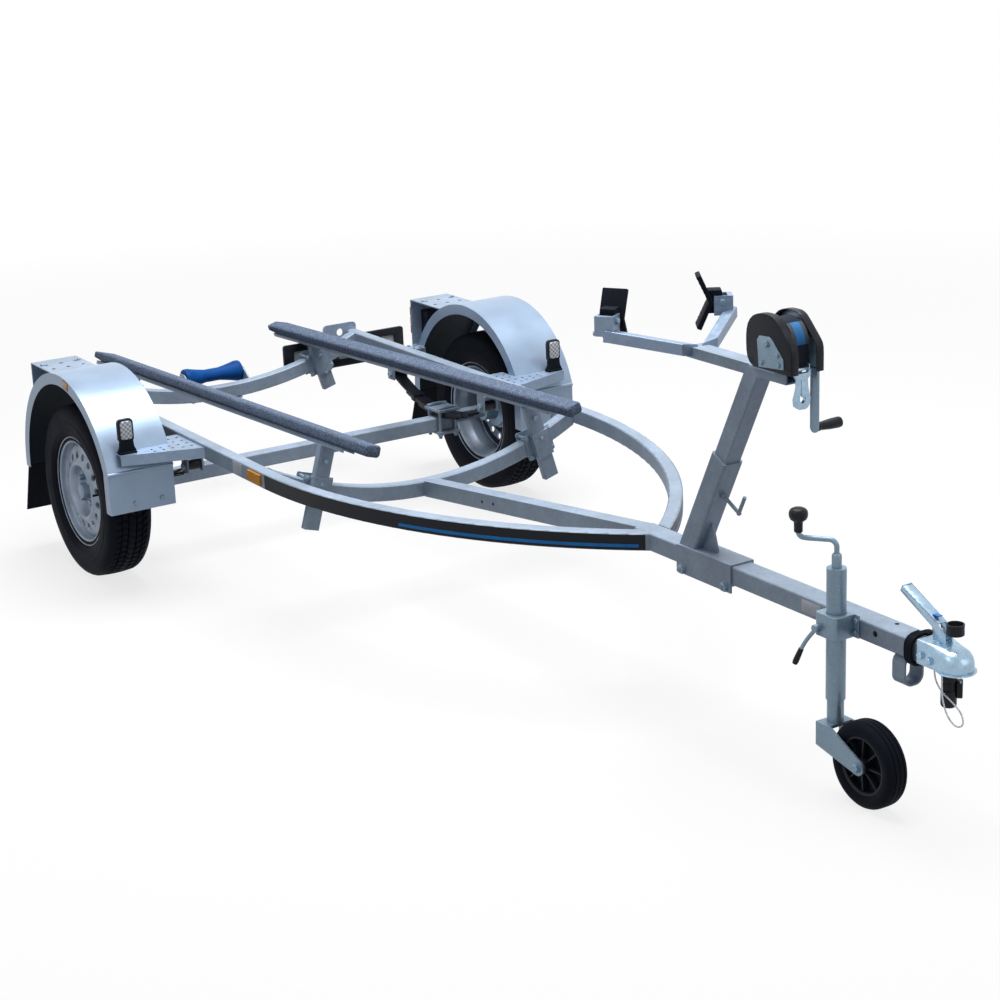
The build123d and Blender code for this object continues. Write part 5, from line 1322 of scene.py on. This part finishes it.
# ------------------------------------------------------------------ jockey wheel
def make_jockey_crank(stem, top):
    """A cap on the tube, and a cranked round bar with a knob."""
    low, high = corners("jockey_crank")
    piece = Piece("jockey_crank_handle", origin=(stem.x, stem.y, top))
    way = Vector((low.x + 23, low.y + 23, top)) - piece.origin
    reach = way.length
    way.normalize()
    piece.lathe([(0, 0), (0, 12), (30, 12), (34, 10), (36, 8), (36, 0)], HERE, UP, 28)
    bend, turn_up, corner = 18, 14, UP * 68
    end = corner + way * reach
    points = [UP * 20, corner - UP * 20]
    points += [corner + (way - UP) * bend - (way * a - UP * b) * bend for a, b in arc((0, 0), 1, 11.25, 90, 7)]
    points.append(end - way * 22 - UP * 0.5)
    points += [end + (UP - way) * turn_up - (UP * a - way * b) * turn_up for a, b in arc((0, 0), 1, 15, 90, 5)]
    points.append(end + UP * 24)
    piece.tube(points, 6.4, 18)
    knob = [
        (0, 0), (0, 8.5), (2, 10.5), (24, 10.8), (28, 13), (32, 19), (38, 22.2), (46, 23), (52, 22), (57, 18.5),
        (60, 13), (61.5, 6), (62, 0),
    ]
    piece.lathe(knob, (end.x, end.y, high.z - top - knob[-1][0]), UP, 40, finish="black_plastic")
    piece.done("chassis", ["jockey_crank"], "zinc")


def make_clamp(stem):
    """The clamp's block between its bolted ears, and the lever that tightens it."""
    low, high = corners("jockey_clamp")
    tall, face, wall = 58, -33.0, stem.y
    piece = Piece("jockey_clamp_block", origin=(stem.x, 0, high.z - tall))
    outline = [(-38, face), (36, face), (36, wall - 30), (30, wall - 35), (-32, wall - 35), (-38, wall - 29)]
    piece.prism(outline, HERE, FORWARD, UP, tall, 1.6, 3, holes=[arc((0, stem.y), 24.4, 0, 337.5, 15)])
    for start, end, bolt in ((36, 52, 44.5), (-52, -38, -45.5)):
        piece.box((start, face - 1, 0), (end, face - 5.5, tall), 1.0)
        for z in (14, 44):
            piece.bolt((bolt, face - 5.5, z), -LEFT, 7)
    root = Vector((-24, stem.y - 38, 20))
    piece.rod(root + LEFT * 18, root - LEFT * 11, 9.8)
    tip = Vector((low.x + 6.8, low.y + 6.8, low.z + 4)) - piece.origin
    points = []
    for share in [step / 14 for step in range(15)]:
        bow = sin(pi * share) * 9
        points.append(root.lerp(tip, share) + Vector((-bow * 0.6, 0, bow * 0.55)))
    piece.tube(points[:12], 5.2)
    grip = [points[9].lerp(tip, share) for share in (0.0, 0.2, 0.4, 0.65, 0.88, 1.0)]
    piece.tube(grip, [6.4, 6.8, 7.2, 7.6, 7.4, 6.0], 18, finish="black_plastic")
    piece.done("chassis", ["jockey_clamp"], "zinc")


def make_wheel(centre):
    """A ribbed solid tyre on a plastic rim with eight spokes."""
    piece = Piece("jockey_wheel_tyre", "black_plastic", centre)
    tyre = mirrored([
        (-24, 70), (-27, 74), (-30, 80), (-31, 88), (-30, 96), (-27, 101), (-23, 105), (-18, 107.2),
        (-15, 107.6), (-14.4, 105.4), (-12.6, 105.4), (-12, 107.8), (-1.2, 108), (-0.8, 105.6),
    ])
    piece.lathe(tyre, HERE, LEFT, 96, closed=True, finish="tyre_rubber")
    for half, steps in (
        ([(-24, 76), (-25.5, 74), (-25.5, 69), (-22, 66)], 72), ([(-31, 8.1), (-31, 17), (-29, 19)], 36),
        ([(-3, 18), (-3, 67)], 48),
    ):
        piece.lathe(mirrored(half), HERE, LEFT, steps, closed=True)
    spoke = [(0, -24), (50, -20), (50, 20), (0, 24)]
    for across, up in polar(8):
        out, flat = Vector((across, 0, up)), Vector((-up, 0, across))
        piece.prism(spoke, out * 17 - flat * 2.2, out, flat, 4.4, 0.8)
    piece.done("jockey_wheel", ["jockey_wheel"], "black_rubber")


def make_fork(centre):
    """The nuts at both ends of the jockey wheel's axle."""
    piece = Piece("jockey_fork_nuts")
    for side in (-1, 1):
        piece.bolt(centre + Vector((0, side * 39, 0)), LEFT * side, 12)
    piece.done("jockey_fork", slot="zinc")


class TRAILER_OT_jockey(bpy.types.Operator):
    """Makes the jockey wheel, its clamp, lever and crank"""

    bl_idname = "trailer.jockey"
    bl_label = "Jockey wheel"

    def execute(self, context):
        tube_low, tube_high = corners("jockey_tube")
        stem = (tube_low + tube_high) / 2
        make_jockey_crank(stem, tube_high.z)
        make_clamp(stem)
        make_wheel(joint_place("jockey_wheel_spin"))
        make_fork(joint_place("jockey_wheel_spin"))
        return {"FINISHED"}


# ------------------------------------------------------------------ coupling
def make_head(ball, low, high):
    """A pressed nose over the ball, swept back into a cap over the drawbar."""
    piece = Piece("coupling_pressing", "bright_zinc", ball)
    tall = high.z - low.z
    work = bmesh.new()
    rows = []
    stations = [
        # ahead of the ball, half width, height share, corner
        (-88, 37.0, 1.0, 5.0), (-60, 37.0, 1.0, 5.0), (-44, 37.0, 1.0, 7.0), (-30, 37.2, 0.97, 12.0),
        (-16, 38.5, 0.93, 18.0), (0, 40.5, 0.90, 24.0), (12, 39.5, 0.87, 26.0), (22, 35.5, 0.80, 26.0),
        (30, 29.5, 0.70, 24.0), (36, 22.0, 0.56, 18.0), (40, 12.5, 0.40, 11.0),
    ]
    for x, half, share, corner in stations:
        top = tall * share
        eased = arc((corner - half, top - corner), corner, 180, 90, 6)
        cheek = [(-half, 0), *eased]
        section = (*cheek, (0, top + 0.001), *((-y, z) for y, z in reversed(cheek)))
        rows.append([work.verts.new((x, y, z)) for y, z in section])
    stitch(work, rows, closed=False)
    work.faces.new(rows[-1])
    piece.take(work)
    flange = [(-88, -37.5), (-30, -37.5), (-10, -44), *arc((0, 0), 47.8, -90, 90, 24)]
    flange += [(-10, 44), (-30, 37.5), (-88, 37.5)]
    cup = arc((0, 0), 25.6, 0, 345, 23)
    slot_hole = [(-86, -33), (-34, -33), (-34, 33), (-86, 33)]
    piece.prism(flange, HERE, FORWARD, UP, 3.4, 1.1, 2, holes=[cup, slot_hole])
    bowl = [(0, 25.6), (8, 25.8)] + [(22 + along, radius) for radius, along in arc((0, 0), 25.4, -20, 90, 10)]
    piece.lathe(bowl, HERE, UP)
    for x, height in ((-74, -24), (-46, -30)):
        for side in (-1, 1):
            piece.bolt((x, side * 36.9, over(height) - ball.z), LEFT * side, 10)
    piece.rod((-40, -20, tall - 3), (-40, 20, tall - 3), 7)
    ear = [(-52, 0), (-22, 0), (-26, 34), (-34, 44), (-44, 40)]
    for left in (13.5, -9.5):
        piece.prism(ear, (0, left, tall - 6), FORWARD, -LEFT, 4)
    piece.done("chassis", ["coupling_head"], "zinc", sharp=40)


def make_handle(ball):
    """A channel pressed from sheet, folded over at its tip."""
    piece = Piece("coupling_lever", "bright_zinc")
    cheek = [(-60, 12), (-28, 12), (-30, 36), (-46, 54), (-163, 114.5), (-170.5, 100), (-64, 42)]
    back = [(-46, 54), (-163, 114.5), (-164.5, 111.6), (-47.5, 51.0)]
    fold = [(-161, 115.5), (-164, 115.2), (-171.5, 99.5), (-169, 98.8)]
    for outline, left, wide, bevel in (
        (cheek, -11.4, 3.2, 1.0), (cheek, 14.6, 3.2, 1.0), (back, 14.6, 29.2, 1.0), (fold, 14.4, 28.8, 0.8),
    ):
        piece.prism(outline, (ball.x, left, RAIL_TOP), FORWARD, -LEFT, wide, bevel)
    piece.rod((ball.x - 40, -14.9, over(26)), (ball.x - 40, 14.9, over(26)), 5)
    piece.box((ball.x - 72, -6.5, over(67)), (ball.x - 52, 6.5, over(69)), 0.6, finish="lock_blue")
    piece.done("chassis", ["coupling_handle"], "zinc")


def make_dock():
    """An open ring that holds the plug, on a small arm."""
    low, high = corners("plug_dock")
    x = high.x - 21
    piece = Piece("plug_ring", "black_plastic")
    wall = [
        (0.4, 17.8), (0, 18.4), (0, 20.2), (0.8, 20.9), (10, 20.6), (16, 20.4), (25, 20.9), (26, 20.4),
        (26, 18.2), (25.4, 17.6), (16, 17.8),
    ]
    piece.lathe(wall, (x, 0, high.z - 26), UP, closed=True)
    piece.box((low.x + 0.3, -5.8, low.z + 0.3), (x - 18.6, 5.8, low.z + 21), 1.2)
    piece.done("chassis", ["plug_dock"], "black_plastic")


class TRAILER_OT_coupling(bpy.types.Operator):
    """Makes the ball coupling's pressed head, handle and plug dock"""

    bl_idname = "trailer.coupling"
    bl_label = "Coupling"

    def execute(self, context):
        low, high = corners("coupling_head")
        ball = Vector((high.x - 48, 0, low.z))
        make_head(ball, low, high)
        make_handle(ball)
        make_dock()
        return {"FINISHED"}


# ------------------------------------------------------------------ rails
RAIL_HALF = 585.0
BEND = 860.0            # where the rails start to sweep in, ahead of the axle
SWEEP_RADIUS = 1580.35
BAND = ((880.0, 2052.0), (-4.0, -47.0))     # its ends ahead of the axle, its edges over the rail's top
STRIPE = ((1466.0, 2040.0), (-30.5, -39.5))
REFLECTOR, DATA_PLATE, TAG = 817, 666, 2680     # ahead of the axle
DRAWBAR_HALF = 33.0


def rail_line(side, distance, out):
    """A point's X and Y on a rail's outer face, out from it, this far ahead of the axle."""
    if distance <= BEND:
        return ahead(distance), side * (RAIL_HALF + out)
    centre = RAIL_HALF - SWEEP_RADIUS
    turn = asin(min(1.0, (distance - BEND) / SWEEP_RADIUS))
    reach = SWEEP_RADIUS + out
    return ahead(BEND + reach * sin(turn)), side * (centre + reach * cos(turn))


def make_strip(piece, side, extent, out, finish):
    """A film along the rail's outer face, standing out from it."""
    (start, end), (top, bottom) = extent
    work = bmesh.new()
    rows = []
    for step in range(65):
        distance = start + (end - start) * step / 64
        near, far = rail_line(side, distance, -0.2), rail_line(side, distance, out)
        section = ((near, top), (far, top), (far, bottom), (near, bottom))
        rows.append([work.verts.new((*place, over(z))) for place, z in section])
    stitch(work, rows, caps=True)
    piece.take(work, finish=finish)


def make_reflector(name, side):
    """An amber reflector in its dark frame, on the rail's outer face."""
    piece = Piece(f"reflector_{name}", "black_plastic", (ahead(REFLECTOR), side * RAIL_HALF, over(-25)))
    for size, lift, depth, finish, bevel in (
        ((83.6, 31.6, 4, 4), 0, 3.0, "black_plastic", 0.6), ((78, 26, 3, 4), 2.5, 3.2, "amber_lens", 0.9),
    ):
        outline = [(x * side, z) for x, z in rounded(*size)]
        piece.prism(outline, LEFT * (side * lift), FORWARD * side, LEFT * side, depth, bevel, finish=finish)
    piece.done("chassis", slot="amber_lens")


def make_plates():
    """The blank data plate on the right rail and the blank tag on the drawbar."""
    plate = Piece("data_plate", "plate_foil", (ahead(DATA_PLATE), -RAIL_HALF, RAIL_TOP))
    plate.box((0, 0, -5), (62, -0.8, -45), 0.3)
    for x in (4, 58):
        for z in (-9, -41):
            plate.rod((x, 0, z), (x, -1.6, z), 1.8, 10, 0.5, finish="zinc_plate")
    plate.origin = Vector((ahead(TAG), -DRAWBAR_HALF, RAIL_TOP))
    plate.box((0, 0, -8), (70, -0.6, -40), 0.2)
    plate.done("chassis", slot="galvanised")


class TRAILER_OT_rails(bpy.types.Operator):
    """Puts the black band, its stripe, the blank plates and the reflectors on the rails"""

    bl_idname = "trailer.rails"
    bl_label = "Rail trim"

    def execute(self, context):
        for name, side in SIDES:
            piece = Piece(f"rail_band_{name}", "band_film")
            make_strip(piece, side, BAND, 0.35, "band_film")
            make_strip(piece, side, STRIPE, 0.6, "stripe_film")
            piece.done("chassis", slot="galvanised")
            make_reflector(name, side)
        make_plates()
        return {"FINISHED"}


# ------------------------------------------------------------------ lamps
def make_arch_reflector(piece, side):
    """A small reflector on the fender's turned-down lip, over the tyre."""
    outer = corners("fender_left")[1].y
    turn = radians(80)
    arm = Vector((cos(turn), 0, sin(turn)))
    piece.origin = Vector((ahead(FENDER_AHEAD), side * (outer - 1.5), FENDER_Z)) + arm * 354
    across = Vector((-arm.z, 0, arm.x)) * -side
    piece.prism(rounded(44, 27, 4, 3), HERE, across, LEFT * side, 1.9, 0.3)
    piece.prism(rounded(40, 23, 3, 3), HERE, across, LEFT * side, 2.4, 0.4, finish="amber_lens")


def make_tail(piece, side, low, high):
    """A box lamp with red, amber and red lenses one over another."""
    face = low.x + 42
    piece.origin = Vector((face, side * (high.y - 65), (low.z + high.z) / 2))
    piece.prism(rounded(129, 107, 9, 4), -FORWARD, LEFT, -FORWARD, 22, 1.6)
    piece.box((-1, -37, -41), (high.x - 0.5 - face, 37, 41), 3.0)
    for bottom, top, finish in ((18, 49.5, "red_lens"), (-16, 17, "amber_lens"), (-50, -17, "red_lens")):
        outline = [(-61, bottom), (61, bottom), (61, top), (-61, top)]
        piece.prism(outline, FORWARD * -22, LEFT, -FORWARD, 19.4, 2.6, 3, finish=finish)
    for y in (-50, 50):
        for z in (-35, 35):
            piece.rod((-40.8, y, z), (-41.8, y, z), 3.0, 12, 0.4, finish="zinc_plate")


def make_marker(piece, side, low, high):
    """A rounded lamp on a tapered rubber foot: clear ahead, red behind."""
    piece.origin = Vector(((low.x + high.x) / 2, side * (high.y - 29), low.z))
    foot = [(-29, 0), (29, 0), (29, 9), (23, 22), (21, 46), (-21, 46), (-23, 22), (-29, 9)]
    piece.prism(foot, FORWARD * -9, LEFT, FORWARD, 18, 3.0, 3, finish="black_rubber")
    piece.box((-14, -29, 0), (14, 29, 7), 2.4, 3, finish="black_rubber")
    tall = high.z - low.z - 36.4
    height = (high.z - low.z + 36) / 2
    window = rounded(38, tall - 16, 9, 5)
    piece.prism(rounded(52, tall, 13, 5), (-8, 0, height), LEFT, FORWARD, 13, 1.6)
    piece.prism(window, (4.4, 0, height + 2), LEFT, FORWARD, 6.2, 2.0, 3, finish="clear_lens")
    piece.prism(window, (-7.6, 0, height), -LEFT, -FORWARD, 3.0, finish="red_lens")


class TRAILER_OT_lamps(bpy.types.Operator):
    """Makes the tail lamps, the marker lamps and the fenders' reflectors"""

    bl_idname = "trailer.lamps"
    bl_label = "Lamps"

    def execute(self, context):
        tail_low, tail_high = corners("tail_lamps")
        mark_low, mark_high = corners("marker_lamps")
        tails, marks = Piece("tail_lamp_sets", "black_plastic"), Piece("marker_lamp_sets", "black_plastic")
        for _, side in SIDES:
            make_tail(tails, side, tail_low, tail_high)
            make_marker(marks, side, mark_low, mark_high)
        for _, side in SIDES:
            make_arch_reflector(marks, side)
        tails.done("chassis", ["tail_lamps"], "red_lens")
        marks.done("chassis", ["marker_lamps"], "amber_lens")
        return {"FINISHED"}


# ------------------------------------------------------------------ running gear
SPRING_EYE = 397.5      # the eyes' height
SPRING_LINE, SPRING_HALF, SPRING_SAG = 560.0, 310.0, 80.0   # out from the middle, half its length, its bow


def make_springs():
    """The nuts and U-bolts that hold the springs to the axle, and the eyes' nuts."""
    low, high = corners("axle_clamps")
    piece = Piece("spring_nuts")
    for _, side in SIDES:
        piece.origin = Vector((AXLE.x, side * SPRING_LINE, 0))
        for end in (-36, 36):
            for edge in (-32, 32):
                for z, way, size in ((low.z + 16, -1, 11), (high.z - 8, 1, 10)):
                    piece.bolt((end, edge, z), UP * way, size)
            piece.tube([(end, y, high.z - 6 + z / 8) for y, z in arc((0, 0), 32, 0, 180, 12)], 5.6, 14)
        for end in (-SPRING_HALF, SPRING_HALF):
            for edge in (-1, 1):
                piece.bolt((end, edge * 28.5, SPRING_EYE), LEFT * edge, 12)
    piece.done("chassis", slot="zinc")


def make_clips():
    """The clips round the springs' leaves, turned with their slope."""
    piece = Piece("spring_clips", "black_paint")
    for _, side in SIDES:
        piece.origin = Vector((AXLE.x, side * SPRING_LINE, 0))
        for end in (-165, 165):
            rise = SPRING_EYE + SPRING_SAG * ((end / SPRING_HALF) ** 2 - 1)
            tilt = Matrix.Rotation(-atan(2 * SPRING_SAG * end / SPRING_HALF**2), 4, "Y")
            turned = Matrix.Translation((end, 0, rise - 4)) @ tilt
            for y, z, wide, tall in ((-24, 0, 2, 22), (24, 0, 2, 22), (0, -10, 50, 2), (0, 10, 50, 2)):
                work = bmesh.new()
                shape = Matrix.Translation((0, y, z)) @ Matrix.Diagonal((20, wide, tall, 1))
                bmesh.ops.create_cube(work, size=1.0, matrix=shape)
                piece.take(work, 0.5, 1, turned)
    piece.done("chassis", slot="black_steel")


def make_fenders():
    """The bolts that hold the fenders and their brackets."""
    piece = Piece("fender_bolts")
    bracket_top = corners("lamp_brackets")[1].z
    for _, side in SIDES:
        for d in (-308, -272):
            for y in (610, 640):
                piece.bolt((ahead(d), side * y, over(-14)), UP, 8)
        for y in (700, 790):
            piece.bolt((ahead(371.7), side * y, 330), FORWARD, 8)
        for y in (675, 805):
            piece.bolt((ahead(-300), side * y, bracket_top), UP, 7)
    piece.done("chassis", slot="zinc")


class TRAILER_OT_running_gear(bpy.types.Operator):
    """Makes the nuts, U-bolts and clips of the springs and the fenders' bolts"""

    bl_idname = "trailer.running_gear"
    bl_label = "Running gear"

    def execute(self, context):
        make_springs()
        make_clips()
        make_fenders()
        return {"FINISHED"}


# ------------------------------------------------------------------ fittings
def make_roller():
    """The keel roller, waisted towards its middle."""
    low, high = corners("keel_roller")
    half = (high.y - low.y) / 2
    piece = Piece("roller_ribs", "roller_rubber")
    profile = mirrored([
        (-half, 9.1), (-half, 33), (-half + 1.5, 35.8), (-half + 5, 37.6), (-half + 10, 38),
        (-half + 20, 37.8), (-half + 24, 36.5), (-60, 29.8), (-32, 24.6), (-28, 24),
    ])
    piece.lathe(profile, (low + high) / 2, LEFT, 64, closed=True)
    piece.done("keel_roller", ["keel_roller"], "blue_rubber")


def make_plate():
    """The slotted number-plate holder with its blank plate, on two arms."""
    low, high = corners("plate_holder")
    front = low.x + 12
    centre = (low.y + high.y) / 2
    wide, tall = high.y - low.y, 116.0
    bottom = over(-28 - tall)
    piece = Piece("plate_frame", "black_plastic")

    def panel(width, height, corner, steps, across=0.0):
        return [(a + across, b + tall / 2) for a, b in rounded(width, height, corner, steps)]

    slots = [panel(56, 60, 6, 3, y) for y in (-190, -95, 0, 95, 190)]
    border, inner = panel(wide, tall, 10, 4), panel(wide - 12, tall - 12, 6, 4)
    blank = panel(wide - 14, tall - 14, 6, 4)
    for outline, x, depth, bevel, holes, finish in (
        (border, front - 3, 3, 0.8, slots, None), (border, low.x + 0.2, 9, 0.8, [inner], None),
        (blank, low.x + 4, 1.6, 0.4, (), "plate_white"),
    ):
        piece.prism(outline, (x, centre, bottom), LEFT, FORWARD, depth, bevel, 2, holes, finish=finish)
    for y in (-75, 8):
        arm = high.y - 260 + y
        for start, end, drop in ((front, high.x, -37), (front, front + 8, -58), (high.x - 6, high.x, -37)):
            piece.box((start, arm - 12, over(drop)), (end, arm + 12, over(-28)), 0.8)
    piece.done("chassis", ["plate_holder"], "black_plastic")


def make_flaps():
    """The strips and bolts that hold the mudflaps."""
    outer = corners("mudflaps")[1].y
    piece = Piece("flap_trim")
    for _, side in SIDES:
        line = side * (outer - 102)
        for y in (-70, 0, 70):
            piece.bolt((ahead(-358), line + y, 326), -FORWARD, 7)
        piece.box((ahead(-358.6), line - 92, 318), (ahead(-356), line + 92, 334), 0.6)
    piece.done("chassis", slot="zinc")


class TRAILER_OT_fittings(bpy.types.Operator):
    """Makes the drawbar's bolts and holes, the roller's nuts and the plate holder"""

    bl_idname = "trailer.fittings"
    bl_label = "Fittings"

    def execute(self, context):
        bolts = Piece("frame_bolts")
        for d in (2207, 2385):
            for side in (-1, 1):
                bolts.bolt((ahead(d), side * 37.6, over(-58)), LEFT * side, 13)
        # Painted shade: near-black discs set in the tubes' faces stand for the shaded insides of the holes.
        holes = Piece("bolt_holes", "hole_dark")
        for d, y, z, way, radius in (
            (2944, -33, over(-21), -LEFT, 7.5), (2967, 14, RAIL_TOP, UP, 6.0),
            (2944, 33, over(-21), LEFT, 7.5), (1200, -25, over(-121), -LEFT, 5.0),
            (1262, -25, over(-113.5), -LEFT, 5.0),
        ):
            spot = Vector((ahead(d), y, z))
            holes.rod(spot - Vector(way) * 2, spot + Vector(way) * 0.25, radius, 24, 0.05)
        holes.done("chassis", slot="galvanised")
        roller = middle("keel_roller")
        for side in (-1, 1):
            bolts.bolt((roller.x, side * 120.5, roller.z), LEFT * side, 14)
        bolts.bolt((ahead(3021), 0, over(-55)), -UP, 8)
        bolts.done("chassis", slot="zinc")
        make_plate()
        make_flaps()
        make_roller()
        return {"FINISHED"}


# ------------------------------------------------------------------ running order
OPERATORS = (
    TRAILER_OT_stage,
    TRAILER_OT_finishes,
    TRAILER_OT_cables,
    TRAILER_OT_tyres,
    TRAILER_OT_rims,
    TRAILER_OT_winch,
    TRAILER_OT_bunks,
    TRAILER_OT_bow,
    TRAILER_OT_jockey,
    TRAILER_OT_coupling,
    TRAILER_OT_rails,
    TRAILER_OT_lamps,
    TRAILER_OT_running_gear,
    TRAILER_OT_fittings,
)


class TRAILER_PT_panel(bpy.types.Panel):
    """Lists the trailer's pieces and their settings"""

    bl_idname = "TRAILER_PT_panel"
    bl_label = "Boat Trailer"
    bl_space_type = "VIEW_3D"
    bl_region_type = "UI"
    bl_category = "Trailer"

    def draw(self, context):
        for settings in (context.scene.trailer_finishes, context.scene.trailer_sizes):
            for name in settings.__annotations__:
                self.layout.prop(settings, name)
        for operator in OPERATORS:
            self.layout.operator(operator.bl_idname)


CLASSES = (TrailerFinishes, TrailerSizes, *OPERATORS, TRAILER_PT_panel)


def register():
    for kind in CLASSES:
        bpy.utils.register_class(kind)
    bpy.types.Scene.trailer_finishes = PointerProperty(type=TrailerFinishes)
    bpy.types.Scene.trailer_sizes = PointerProperty(type=TrailerSizes)


def unregister():
    del bpy.types.Scene.trailer_sizes
    del bpy.types.Scene.trailer_finishes
    for kind in reversed(CLASSES):
        bpy.utils.unregister_class(kind)


def main():
    register()
    for operator in OPERATORS:
        group, name = operator.bl_idname.split(".")
        getattr(getattr(bpy.ops, group), name)()


if __name__ == "__main__":
    main()
